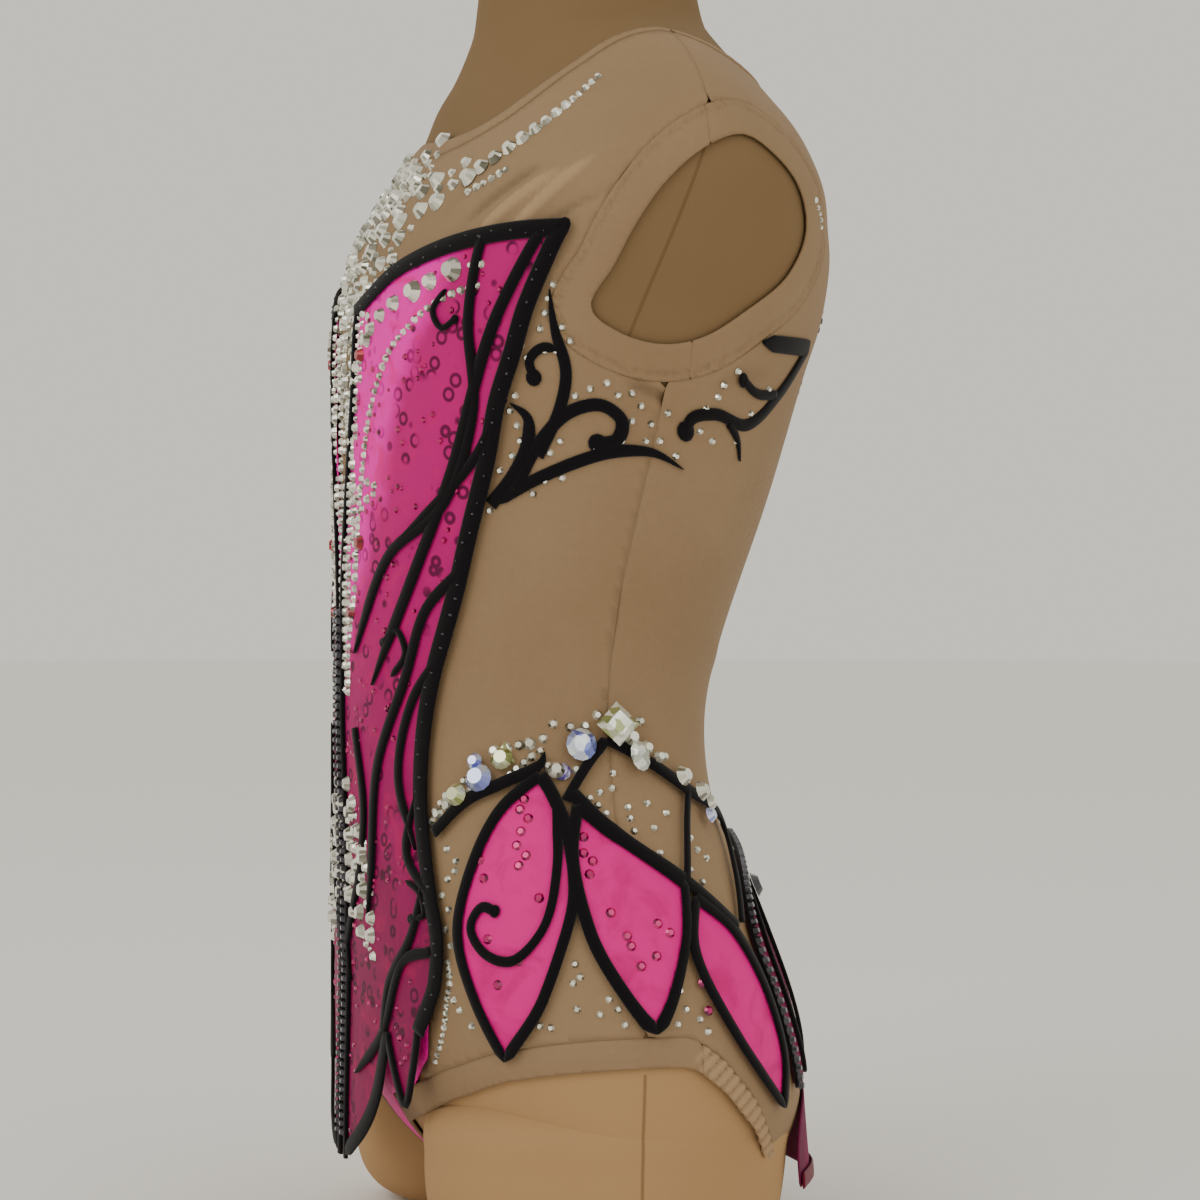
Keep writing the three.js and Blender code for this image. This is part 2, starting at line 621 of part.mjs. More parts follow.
// Dark centre back piece, and the plum hip piece below it.
const MID = (z) => Math.PI * meanRadius(z);
function centred(widths) {
  const side = widths.map(([z, half]) => [MID(z) - half, z]);
  const other = widths.map(([z, half]) => [MID(z) + half, z]).reverse();
  return [...side, ...other];
}
const SPINE = [
  // z, half width
  [482, 5], [462, 13], [440, 20], [424, 30], [412, 20], [396, 23], [372, 18], [340, 16], [305, 14],
  [270, 12], [240, 12], [215, 14], [186, 20],
];
const HIP_BACK = [
  // z, half width
  [183, 36], [172, 70], [158, 91], [142, 103], [124, 105], [106, 104], [90, 100], [77, 94],
];
const PLUM = { color: 0x7a1a4c, roughness: 0.6, metalness: 0 };
const backEase = () => BACK_EASE;

const DARK_MESH = { color: 0x1a0d14, roughness: 0.85, metalness: 0 };
const flatSpine = plate(centred(SPINE), PANEL_IN, PANEL_OUT);
place('back_spine', wrapped(flatSpine, { flare: backEase, longest: SPINE_STEP }), DARK_MESH);
const flatHip = plate(centred(HIP_BACK), PANEL_IN, PANEL_OUT);
place('back_hip_panel', wrapped(flatHip, { flare: backEase, longest: HIP_STEP }), PLUM);
const hipSide = HIP_BACK.map(([z, half]) => [MID(z) - half, z]);
const hipOther = HIP_BACK.map(([z, half]) => [MID(z) + half, z]);
const at = (z, off) => [MID(z) + off, z];
const backLines = [
  stroke(hipSide, 4.6),
  stroke(hipOther, 4.6),
  stroke([at(186, 0), at(150, 0), at(110, 0), at(78, 0)], 4.6),
  stroke([at(186, 0), at(170, -20), at(140, -34), at(104, -24), at(80, 0)], LINE),
  stroke([at(186, 0), at(170, 20), at(140, 34), at(104, 24), at(80, 0)], LINE),
  stroke([hipSide[0], at(186, 0), hipOther[0]], 4.6),
];
place('back_trim', wrapped(joined(backLines), { flare: backEase }), VELVET);

// Small hanging layer at the back: flares away from the body towards its wine-coloured hem.
const SKIRT = [
  // z, half width
  [73, 60], [60, 82], [45, 90], [30, 86],
];
const SKIRT_WAVES = 9;
const SKIRT_HANG = 74;
const skirtFlare = (angle, z) => {
  const down = THREE.MathUtils.clamp((SKIRT_HANG - z) / 44, 0, 1);
  return down * (2.5 + 1.6 * Math.cos(angle * SKIRT_WAVES));
};
const skirtAt = (z) => MID(Math.max(z, SKIRT_HANG));
const skirt = [...SKIRT.map(([z, half]) => [skirtAt(z) - half, z]),
  ...SKIRT.map(([z, half]) => [skirtAt(z) + half, z]).reverse()];
const SKIRT_SEWN = 0.7;
const SKIRT_PINK = { color: 0x8e2a55, roughness: 0.6, metalness: 0 };
place('back_skirt', wrapped(plate(skirt, PANEL_IN - SKIRT_SEWN, PANEL_OUT - SKIRT_SEWN),
  { hang: SKIRT_HANG, flare: skirtFlare, longest: SKIRT_STEP }), SKIRT_PINK);
const HEM_HEIGHT = 33;
const HEM_WIDTH = 7;
const hemFlare = (angle, z) => skirtFlare(angle, z) + 0.5;
const hemLine = [-83, 0, 83].map((off) => [MID(SKIRT_HANG) + off, HEM_HEIGHT]);
const HEM_SEWN = SKIRT_SEWN + 0.9;
const hem = stroke(hemLine, HEM_WIDTH, { step: 12 }, TRIM_IN - HEM_SEWN, TRIM_OUT - HEM_SEWN);
const WINE = { color: 0x5a0028, roughness: 0.6, metalness: 0 };
place('skirt_hem', wrapped(hem, { hang: SKIRT_HANG, flare: hemFlare }), WINE);

// Large stones on the hip belt: a cut stone with a flat back, a girdle and a small table.
function stone([sides, width, height, right, up, stretch, rest], turn) {
  const [x, z] = drawn(right, up);
  const angle = x / meanRadius(z);
  const seat = trunkOut(angle, z, rest);
  const out = trunkOut(angle, z, TRIM_OUT + 1).sub(trunkOut(angle, z, 0)).normalize();
  const rows = [[width / 2 - 0.8, 0], [width / 2, height * 0.35], [width * 0.28, height]];
  const rings = rows.map(([r, h]) => Array.from({ length: sides }, (_, k) => {
    const a = (k / sides) * 2 * Math.PI + turn;
    return new THREE.Vector3(r * Math.cos(a), r * Math.sin(a) * stretch, h);
  }));
  const side = new THREE.Vector3(0, 0, 1).cross(out).normalize();
  const basis = new THREE.Matrix4().makeBasis(side, out.clone().cross(side), out).setPosition(seat);
  rings.flat().forEach((p) => p.applyMatrix4(basis));
  return loft(rings);
}
const CRYSTAL = { color: 0xdfe3dc, roughness: 0.08, metalness: 0.1 };
const STONES = {
  // sides, width, height, right of the aim, above the aim, stretch, how far out the back rests
  square: [4, 20, 5.2, 6, -60, 1.0, TRIM_OUT + 0.85],
  round: [12, 13.5, 4.4, -9.5, -70, 1.1, TRIM_OUT - 1.3],
  violet: [10, 8, 3.2, -18, -82, 1.0, CLOTH_OUT + 0.45],
  oval: [12, 9.5, 4, 16, -76, 1.5, TRIM_OUT + 0.45],
  triangle: [3, 13, 4, -45, -74, 1.0, CLOTH_OUT + 0.6],
};
Object.entries(STONES).forEach(([name, row]) => {
  placePair(`hip_stone_${name}`, stone(row, row[0] === 3 ? Math.PI / 2 : 0), CRYSTAL);
});

export default group;
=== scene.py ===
"""Looks of a rhythmic gymnastics leotard on a torso dress form. Sizes in the tables are millimetres."""
import math

import bmesh
import bpy
import numpy as np
from mathutils import Matrix, Vector


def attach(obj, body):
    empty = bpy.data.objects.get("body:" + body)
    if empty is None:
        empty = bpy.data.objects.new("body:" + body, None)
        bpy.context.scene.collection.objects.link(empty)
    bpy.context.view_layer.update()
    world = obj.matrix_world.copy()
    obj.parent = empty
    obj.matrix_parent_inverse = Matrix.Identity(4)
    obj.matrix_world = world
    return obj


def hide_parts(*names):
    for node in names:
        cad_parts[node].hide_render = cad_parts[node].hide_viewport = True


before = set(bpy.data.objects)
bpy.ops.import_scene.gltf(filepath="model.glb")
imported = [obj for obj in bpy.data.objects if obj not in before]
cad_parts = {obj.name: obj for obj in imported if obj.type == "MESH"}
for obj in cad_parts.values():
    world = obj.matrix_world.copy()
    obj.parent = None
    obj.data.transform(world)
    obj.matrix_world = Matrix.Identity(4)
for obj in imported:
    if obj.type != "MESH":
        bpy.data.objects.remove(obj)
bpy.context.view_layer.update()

# Camera: level with the waist, on the wearer's left, turned a little towards the front. The side
# ornaments are drawn as they look from here, each pair being mm right of and mm above the aim.
VIEW_TURN = math.radians(74)
VIEW_DISTANCE = 1500
AIM_ACROSS = 16.5
AIM_HEIGHT = 292
SHIFT_Y = -5.135
FRAME_SIDE = 0.564
view_sin = math.sin(VIEW_TURN)
view_cos = math.cos(VIEW_TURN)
to_camera = Vector((view_sin, -view_cos, 0))
picture_right = Vector((view_cos, view_sin, 0))
aim = picture_right * AIM_ACROSS / 1000 + Vector((0, SHIFT_Y, AIM_HEIGHT)) / 1000
camera_data = bpy.data.cameras.new("camera")
camera_data.sensor_fit = "HORIZONTAL"
camera_data.angle = 2 * math.atan(FRAME_SIDE / 2 / (VIEW_DISTANCE / 1000))
camera = bpy.data.objects.new("camera", camera_data)
camera.location = aim + to_camera * VIEW_DISTANCE / 1000
camera.rotation_euler = to_camera.to_track_quat("Z", "Y").to_euler()
bpy.context.scene.collection.objects.link(camera)
bpy.context.scene.camera = camera

# Studio light: a pale surround, one large soft window from the upper front and a weak one from
# behind the camera's right shoulder.
WORLD_COLOUR = (0.612, 0.592, 0.525, 1)
world = bpy.data.worlds.new("studio")
world.use_nodes = True
world.node_tree.nodes["Background"].inputs["Color"].default_value = WORLD_COLOUR
world.node_tree.nodes["Background"].inputs["Strength"].default_value = 1.4
bpy.context.scene.world = world


def window(name, place, size, power):
    light = bpy.data.lights.new(name, "AREA")
    light.size = size
    light.energy = power
    holder = bpy.data.objects.new(name, light)
    holder.location = place
    holder.rotation_euler = (Vector(place) - aim).to_track_quat("Z", "Y").to_euler()
    bpy.context.scene.collection.objects.link(holder)


window("window_front", (1.3, -2.0, 1.9), 1.6, 19)
window("window_side", (2.2, 0.9, 1.2), 1.4, 6)


# Floor: a plain pale round sheet that the form's stumps stand on, matt like studio paper. It isn't
# part of the object.
class Look:
    """A socket in a material's node tree. Arithmetic on it makes math nodes."""

    def __init__(self, tree, socket=None):
        self.tree = tree
        self.socket = socket

    def node(self, kind, settings, sockets, output=0):
        made = self.tree.nodes.new(kind)
        for key, value in settings.items():
            setattr(made, key, value)
        for key, value in sockets.items():
            if isinstance(value, Look):
                self.tree.links.new(value.socket, made.inputs[key])
            else:
                made.inputs[key].default_value = value
        return Look(self.tree, made.outputs[output])

    def math(self, operation, *values):
        return self.node("ShaderNodeMath", {"operation": operation}, dict(enumerate(values)))

    def __add__(self, other):
        return self.math("ADD", self, other)

    def __radd__(self, other):
        return self.math("ADD", other, self)

    def __sub__(self, other):
        return self.math("SUBTRACT", self, other)

    def __rsub__(self, other):
        return self.math("SUBTRACT", other, self)

    def __mul__(self, other):
        return self.math("MULTIPLY", self, other)

    def __rmul__(self, other):
        return self.math("MULTIPLY", other, self)

    def __gt__(self, other):
        return self.math("GREATER_THAN", self, other)

    def __lt__(self, other):
        return self.math("LESS_THAN", self, other)

    def between(self, low, high):
        """0 at low, 1 at high, smooth and clamped."""
        ranges = {"From Min": low, "From Max": high, "Value": self}
        return self.node("ShaderNodeMapRange", {"interpolation_type": "SMOOTHSTEP"}, ranges)

    def blend(self, first, second):
        """A colour between two others, by this factor."""
        sockets = {"Factor": self, 6: first, 7: second}
        return self.node("ShaderNodeMix", {"data_type": "RGBA"}, sockets, output=2)

    def noise(self, scale, detail=2.0, distortion=0.0):
        sockets = {"Vector": self, "Scale": scale, "Detail": detail, "Distortion": distortion}
        return self.node("ShaderNodeTexNoise", {}, sockets)


FLOOR_RADIUS = 14


def rgb(red, green, blue):
    """A colour as it is seen on a screen, 0 to 255, made linear."""
    def linear(value):
        share = value / 255
        return share / 12.92 if share < 0.04045 else ((share + 0.055) / 1.055) ** 2.4
    return (linear(red), linear(green), linear(blue), 1)


def material(name, colour, roughness, **plain):
    """A material, its shader and a Look at the object's own coordinates."""
    made = bpy.data.materials.new(name)
    made.use_nodes = True
    tree = made.node_tree
    shader = tree.nodes["Principled BSDF"]
    shader.inputs["Base Color"].default_value = colour
    shader.inputs["Roughness"].default_value = roughness
    for key, value in plain.items():
        shader.inputs[key.replace("_", " ")].default_value = value
    places = Look(tree).node("ShaderNodeTexCoord", {}, {}, output=3)
    return made, shader, places


def feed(shader, **sockets):
    for key, value in sockets.items():
        value.tree.links.new(value.socket, shader.inputs[key.replace("_", " ")])


def bump(height, distance, strength=1.0):
    sockets = {"Height": height, "Distance": distance, "Strength": strength}
    return height.node("ShaderNodeBump", {}, sockets)


floor_mesh = bpy.data.meshes.new("floor")
floor_bm = bmesh.new()
bmesh.ops.create_circle(floor_bm, cap_ends=True, segments=96, radius=FLOOR_RADIUS)
floor_bm.to_mesh(floor_mesh)
floor_bm.free()
floor = bpy.data.objects.new("floor", floor_mesh)
bpy.context.scene.collection.objects.link(floor)
floor.data.materials.append(material("floor_paper", (0.93, 0.92, 0.90, 1), 0.9)[0])

# Torso form: a hard limbless form under a tan jersey cover, sewn down the sides of the stumps.
# Its trunk and both thigh stumps are level sections, and every other piece is laid out from them.
MM = 0.001
TRUNK = np.array([
    # z, half width, front, back, middle, squareness
    [21, 30, -9, 30, 10, 2.0],
    [30, 105, -46, 68, 9, 2.0],
    [38, 132, -61, 84, 7, 2.1],
    [48, 141, -72, 92, 5, 2.2],
    [60, 144.5, -81, 96, 3, 2.3],
    [74, 146.5, -89, 98, 1, 2.3],
    [92, 148, -95, 96, 0, 2.3],
    [115, 147, -98, 90, -3, 2.3],
    [140, 142, -100, 81, -7, 2.3],
    [167, 134, -100, 70, -10, 2.3],
    [200, 121, -101, 59, -14, 2.2],
    [236, 107, -102, 57, -14, 2.2],
    [270, 105, -102, 64, -11, 2.2],
    [340, 118, -102, 88, -3, 2.2],
    [396, 132, -102, 104, 5, 2.2],
    [419, 139, -101, 111, 9, 2.2],
    [443, 149, -97, 113, 14, 2.2],
    [460, 155, -91, 112, 17, 2.1],
    [475, 158, -82, 109, 19, 2.1],
    [490, 156, -73, 104, 20, 2.0],
    [505, 148, -65, 101, 20, 1.75],
    [520, 133, -60, 95, 19, 1.55],
    [534, 112, -52, 87, 18, 1.5],
    [553, 74, -44, 72, 15, 1.7],
    [562, 57, -42, 66, 13, 1.9],
    [600, 50, -38, 58, 11, 2.0],
])
THIGH = np.array([
    # z, half width, front, back, middle across
    [0, 42, -56, 52, 76],
    [2.5, 50, -64, 60, 76],
    [8, 58, -73, 69, 76],
    [17, 64, -79.5, 75.5, 76],
    [28, 67, -82.5, 78, 76],
    [46, 68, -83.5, 80, 76],
    [64, 67, -82, 80, 77],
    [84, 52, -60, 60, 78],
])
CLOSING, CLOSED_SHARE, CLOSED_DROP = 12, 0.02, 3
TURN_STEP, HEIGHT_STEP = 0.02, 0.6


def column(table, index, z):
    """One column of a table whose first column is height, on a smooth curve through its rows."""
    heights, values = table[:, 0], table[:, index]
    last = len(heights) - 1
    rows = np.arange(last + 1)
    below, above = np.maximum(rows - 1, 0), np.minimum(rows + 1, last)
    rise = (values[above] - values[below]) / (heights[above] - heights[below])
    z = np.clip(z, heights[0], heights[-1])
    i = np.clip(np.searchsorted(heights, z) - 1, 0, last - 1)
    h = heights[i + 1] - heights[i]
    s = (z - heights[i]) / h
    first = (2 * s**3 - 3 * s**2 + 1) * values[i] + (s**3 - 2 * s**2 + s) * h * rise[i]
    return first + (3 * s**2 - 2 * s**3) * values[i + 1] + (s**3 - s**2) * h * rise[i + 1]


def trunk_point(angle, z, shape_z):
    """Angle 0 is centre front, a quarter turn is the left side. Below the lowest section it closes."""
    half, front, back, middle, power = [column(TRUNK, k, shape_z) for k in range(1, 6)]
    close = np.clip((shape_z - TRUNK[0, 0] + CLOSING) / CLOSING, CLOSED_SHARE, 1)
    sine, cosine = np.sin(angle), np.cos(angle)
    across = np.sign(sine) * np.abs(sine) ** (2 / power) * half * close
    along = np.sign(cosine) * np.abs(cosine) ** (2 / power) * close
    depth = np.where(cosine > 0, middle - front, back - middle)
    drop = np.where(close < 1, TRUNK[0, 0] - CLOSED_DROP * (1 - close), z)
    return np.stack([across, middle - depth * along + SHIFT_Y, drop], axis=-1)


def unit(vectors):
    return vectors / np.maximum(np.linalg.norm(vectors, axis=-1, keepdims=True), 1e-9)


def trunk_out(angle, z, out, hang=0.0):
    """A place moved out along the surface's normal. Below hang, cloth drops straight."""
    angle, z, out = np.broadcast_arrays(*(np.asarray(value, float) for value in (angle, z, out)))

    def at(turn, height):
        return trunk_point(turn, height, np.maximum(height, hang))
    along = at(angle + TURN_STEP, z) - at(angle - TURN_STEP, z)
    up = at(angle, z + HEIGHT_STEP) - at(angle, z - HEIGHT_STEP)
    return at(angle, z) + unit(np.cross(along, up)) * out[..., None]


def mean_radius(z):
    return (column(TRUNK, 1, z) + (column(TRUNK, 3, z) - column(TRUNK, 2, z)) / 2) / 2


def coordinates(bm):
    return np.array([vert.co for vert in bm.verts]).reshape(-1, 3)


def move_to(bm, places):
    for vert, place in zip(bm.verts, places):
        vert.co = place


def put(bm, name, look, node=None, wall=0.0, smooth=True):
    """A finished piece in metres that rides on the one body, in place of a CAD solid if one is named."""
    for face in bm.faces:
        face.smooth = smooth
    mesh = bpy.data.meshes.new(name)
    bm.to_mesh(mesh)
    bm.free()
    piece = bpy.data.objects.new(name, mesh)
    bpy.context.scene.collection.objects.link(piece)
    piece.data.materials.append(look)
    if wall:
        layer = piece.modifiers.new("wall", "SOLIDIFY")
        layer.thickness = wall * MM
        layer.offset = -1
    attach(piece, "root")
    if node:
        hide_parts(node)
    return piece


def add_to(bm, part):
    """Adds one mesh to another and frees it."""
    mesh = bpy.data.meshes.new("part")
    part.to_mesh(mesh)
    part.free()
    bm.from_mesh(mesh)
    bpy.data.meshes.remove(mesh)


def axes(places):
    """Across, along and height of an object's own coordinates."""
    return [places.node("ShaderNodeSeparateXYZ", {}, {"Vector": places}, output=k) for k in range(3)]


FORM_AROUND = 150
FORM_STEP = 4.0
FORM_INSIDE = 0.15
STUMP_AROUND, STUMP_ROWS = 72, 40
COVER_JOIN = 0.00005
form = bmesh.new()
rows = int((TRUNK[-1, 0] - TRUNK[0, 0] + CLOSING) / FORM_STEP)
bmesh.ops.create_grid(form, x_segments=FORM_AROUND, y_segments=rows, size=1)
grid = coordinates(form)
turns = (grid[:, 0] + 1) * math.pi
levels = TRUNK[0, 0] - CLOSING + (grid[:, 1] + 1) / 2 * (TRUNK[-1, 0] - TRUNK[0, 0] + CLOSING)
move_to(form, trunk_out(turns, levels, -FORM_INSIDE) * MM)
for side in (1, -1):
    stump = bmesh.new()
    bmesh.ops.create_grid(stump, x_segments=STUMP_AROUND, y_segments=STUMP_ROWS, size=1)
    grid = coordinates(stump)
    turns = (grid[:, 0] + 1) * math.pi
    levels = (grid[:, 1] + 1) / 2 * THIGH[-1, 0]
    half, front, back, middle = [column(THIGH, k, levels) for k in range(1, 5)]
    across = middle + half * np.sin(turns)
    along = -np.cos(turns) * (back - front) / 2 + (front + back) / 2 + SHIFT_Y
    move_to(stump, np.stack([across * side, along, levels], axis=-1) * MM)
    if side < 0:
        bmesh.ops.reverse_faces(stump, faces=stump.faces[:])
    add_to(form, stump)
bmesh.ops.remove_doubles(form, verts=form.verts[:], dist=COVER_JOIN)
bmesh.ops.holes_fill(form, edges=[edge for edge in form.edges if edge.is_boundary])
cover, shader, places = material("form_cover", rgb(158, 129, 93), 0.82, Specular_IOR_Level=0.2)
across, along, height = axes(places)
# The cover's seams, in metres: one down each stump's side and one over each shoulder.
SIDE_SEAM_AT, SIDE_SEAM_TOP = -0.0103, 0.09
SHOULDER_AT, SHOULDER_SLOPE, SHOULDER_FROM = -0.011, 0.33, 0.412
SHOULDER_LOW, SHOULDER_HIGH = 0.40, 0.54
SEAM_BESIDE = 0.1
THREAD, SIDE_FADE, SHOULDER_FADE = 0.0003, 0.0011, 0.0012
beside = across.math("ABSOLUTE", across) > SEAM_BESIDE
seam = (along - SIDE_SEAM_AT).math("ABSOLUTE", along - SIDE_SEAM_AT).between(SIDE_FADE, THREAD)
seam = seam * (height < SIDE_SEAM_TOP) * beside
from_seam = along - (SHOULDER_AT + (height - SHOULDER_FROM) * SHOULDER_SLOPE)
shoulder = from_seam.math("ABSOLUTE", from_seam).between(SHOULDER_FADE, THREAD)
seam = seam + shoulder * (height > SHOULDER_LOW) * (height < SHOULDER_HIGH) * beside
# Painted shade: the cover is lighter on the stumps and darker towards the neck and shoulders.
tan = height.between(0.10, 0.42).blend(rgb(180, 143, 100), rgb(127, 102, 70))
worn = seam * 0.5 + places.noise(14) * 0.2
feed(shader, Base_Color=worn.blend(tan, rgb(96, 70, 42)))
jersey = places.noise(1500, 1) * 0.4 + seam * -1.5
feed(shader, Normal=bump(jersey, 0.0004, 0.35))
torso = put(form, "torso_cover", cover, "torso_form")

# Nude mesh body: front and back are cut from fine stretch mesh, sewn together down the sides and on
# the shoulders. The mesh pulls in soft diagonal creases over the chest and under the arms.
# The creases' troughs get painted shade and their ridges a painted highlight, through the fold height.
CLOTH_OUT = 2.0
CLOTH_WALL = 0.7
SEAM_GAP = 0.05
ARM_BAND, NECK_BAND, LEG_BAND = 16, 5, 13
NECK_HALF, NECK_FRONT, NECK_BACK, NECK_POWER = 92, -68, 79, 2.8
NECK_FROM = 470
ARM_FROM = 40
CROTCH_HALF = 12.5
BRIEF_TOP, BRIEF_REAR = 176, 12
FAR_AWAY = 50
ARMHOLE = [
    # y, z
    [37, 491], [18, 484], [1, 469], [-11, 450], [-18, 434], [-26, 417],
    [-14, 407], [5, 402], [24, 405], [46, 418], [66, 434], [75, 456], [68, 471], [54, 483]]
LEG_FRONT = np.array([
    # x, z
    [12, 19], [12.5, 30], [22, 54], [60, 63], [105, 78], [125, 86], [150, 93], [220, 95]])
LEG_SIDE = np.array([
    # y, z
    [-200, 120], [4, 120], [8, 94], [18, 91], [31, 81], [48, 62], [61, 38], [70, 22], [80, 16],
    [200, 15]])
SEAM = np.array([
    # z, y
    [-40, 14], [30, 10], [75, -4], [123, -6], [177, -12], [245, -10], [292, -6], [349, 4],
    [402, 12], [500, 22], [560, 24], [640, 24]])
BRIEF = np.array([
    # z, x
    [-40, 13], [30, 13], [46, 18], [62, 30], [74, 60], [92, 84], [118, 90], [150, 88], [176, 80]])


def curve_through(points, step, closed=False):
    """Places spaced evenly along a smooth curve through a few points."""
    p = np.array(points, float)
    if closed:
        p = np.concatenate([p[-1:], p, p[:2]])
    else:
        p = np.concatenate([[2 * p[0] - p[1]], p, [2 * p[-1] - p[-2]]])
    found = []
    for a, b, c, d in zip(p, p[1:], p[2:], p[3:]):
        t = np.cumsum([0] + [max(np.linalg.norm(q - o), 1e-6) ** 0.5 for o, q in ((a, b), (b, c), (c, d))])
        s = np.linspace(t[1], t[2], 24, endpoint=False)[:, None]
        ab = (t[1] - s) / (t[1] - t[0]) * a + (s - t[0]) / (t[1] - t[0]) * b
        bc = (t[2] - s) / (t[2] - t[1]) * b + (s - t[1]) / (t[2] - t[1]) * c
        cd = (t[3] - s) / (t[3] - t[2]) * c + (s - t[2]) / (t[3] - t[2]) * d
        near = (t[2] - s) / (t[2] - t[0]) * ab + (s - t[0]) / (t[2] - t[0]) * bc
        far = (t[3] - s) / (t[3] - t[1]) * bc + (s - t[1]) / (t[3] - t[1]) * cd
        found.append((t[2] - s) / (t[2] - t[1]) * near + (s - t[1]) / (t[2] - t[1]) * far)
    found = np.concatenate(found + [p[-2:-1]])
    run = np.concatenate([[0], np.cumsum(np.linalg.norm(np.diff(found, axis=0), axis=1))])
    count = max(2, int(round(run[-1] / step)))
    at = np.linspace(0, run[-1], count + 1)
    return np.stack([np.interp(at, run, found[:, k]) for k in range(found.shape[1])], axis=1)


def inside_outline(outline, places):
    """Distance from an outline's edge, positive inside it."""
    a = np.asarray(outline, float)
    b = np.roll(a, -1, axis=0)
    nearest = np.full(len(places), 1e9)
    inside = np.zeros(len(places), bool)
    for (ax, ay), (bx, by) in zip(a, b):
        dx, dy = bx - ax, by - ay
        t = ((places[:, 0] - ax) * dx + (places[:, 1] - ay) * dy) / max(dx * dx + dy * dy, 1e-12)
        t = np.clip(t, 0, 1)
        away = np.hypot(places[:, 0] - ax - t * dx, places[:, 1] - ay - t * dy)
        nearest = np.minimum(nearest, away)
        if dy != 0:
            crosses = (ay > places[:, 1]) != (by > places[:, 1])
            inside ^= crosses & (places[:, 0] < ax + (places[:, 1] - ay) * dx / dy)
    return np.where(inside, nearest, -nearest)


arm_outline = curve_through(ARMHOLE, 5, closed=True)


def beyond_neck(at, wider):
    middle, half_depth = (NECK_FRONT + NECK_BACK) / 2, (NECK_BACK - NECK_FRONT) / 2
    across = (np.abs(at[:, 0]) / (NECK_HALF + wider)) ** NECK_POWER
    along = (np.abs(at[:, 1] - middle) / (half_depth + wider)) ** NECK_POWER
    away = ((across + along) ** (1 / NECK_POWER) - 1) * half_depth
    return np.where(at[:, 2] > NECK_FROM, away, FAR_AWAY)


def beyond_arms(at, wider):
    away = -inside_outline(arm_outline, at[:, 1:]) - wider
    return np.where(np.abs(at[:, 0]) > ARM_FROM, away, FAR_AWAY)


def above_legs(at, higher):
    off = np.abs(at[:, 0])
    front = np.interp(off, LEG_FRONT[:, 0], LEG_FRONT[:, 1])
    side = np.interp(at[:, 1], LEG_SIDE[:, 0], LEG_SIDE[:, 1])
    crotch = np.where(off < CROTCH_HALF, CROTCH_HALF - off, at[:, 2] - front - higher)
    return np.maximum(crotch, at[:, 2] - side - higher)


def in_body(at):
    return np.minimum.reduce([
        beyond_neck(at, NECK_BAND + SEAM_GAP), beyond_arms(at, ARM_BAND + SEAM_GAP),
        above_legs(at, LEG_BAND + SEAM_GAP)])


def behind_seam(at):
    return at[:, 1] - np.interp(at[:, 2], SEAM[:, 0], SEAM[:, 1])


def in_brief(at, wider):
    edge = np.interp(at[:, 2], BRIEF[:, 0], BRIEF[:, 1]) + wider
    return np.minimum.reduce(
        [edge - np.abs(at[:, 0]), BRIEF_TOP + wider - at[:, 2], BRIEF_REAR - at[:, 1]])


DEPTH_PASSES, TURN_HALVINGS = 5, 18
DEPTH_FIRST = 100.0


def drawn(pairs, hang=0.0):
    """Places in the side drawing, as the length round from centre front and the height."""
    pairs = np.asarray(pairs, float).reshape(-1, 2)
    depth = np.full(len(pairs), DEPTH_FIRST)
    for _ in range(DEPTH_PASSES):
        shrink = 1 - depth / VIEW_DISTANCE
        across = AIM_ACROSS + pairs[:, 0] * shrink
        z = AIM_HEIGHT + pairs[:, 1] * shrink
        low = np.full(len(pairs), VIEW_TURN - math.pi / 2)
        high = low + math.pi
        for _ in range(TURN_HALVINGS):
            angle = (low + high) / 2
            at = trunk_out(angle, z, CLOTH_OUT, hang)
            short = at[:, 0] * view_cos + (at[:, 1] - SHIFT_Y) * view_sin < across
            low, high = np.where(short, angle, low), np.where(short, high, angle)
        at = trunk_out(angle, z, CLOTH_OUT, hang)
        depth = at[:, 0] * view_sin - (at[:, 1] - SHIFT_Y) * view_cos
    return np.stack([angle * mean_radius(np.maximum(z, hang)), z], axis=1)


CREASE_BOW, CREASE_REACH = 0.06, 0.42


def creases(places, table, hang=0.0):
    """Soft troughs and ridges: how far each place on the cutting plane is moved out."""
    moved = np.zeros(len(places))
    for start_right, start_up, end_right, end_up, width, height in table:
        a, b = drawn([[start_right, start_up], [end_right, end_up]], hang)
        run = np.linalg.norm(b - a)
        t = ((places - a) @ (b - a)) / run**2
        bow = CREASE_BOW * run * np.sin(math.pi * np.clip(t, 0, 1))
        aside = ((places - a) @ np.array([-(b - a)[1], (b - a)[0]])) / run - bow
        moved += height * np.exp(-(aside / width) ** 2) * np.exp(-((t - 0.5) / CREASE_REACH) ** 4)
    return moved


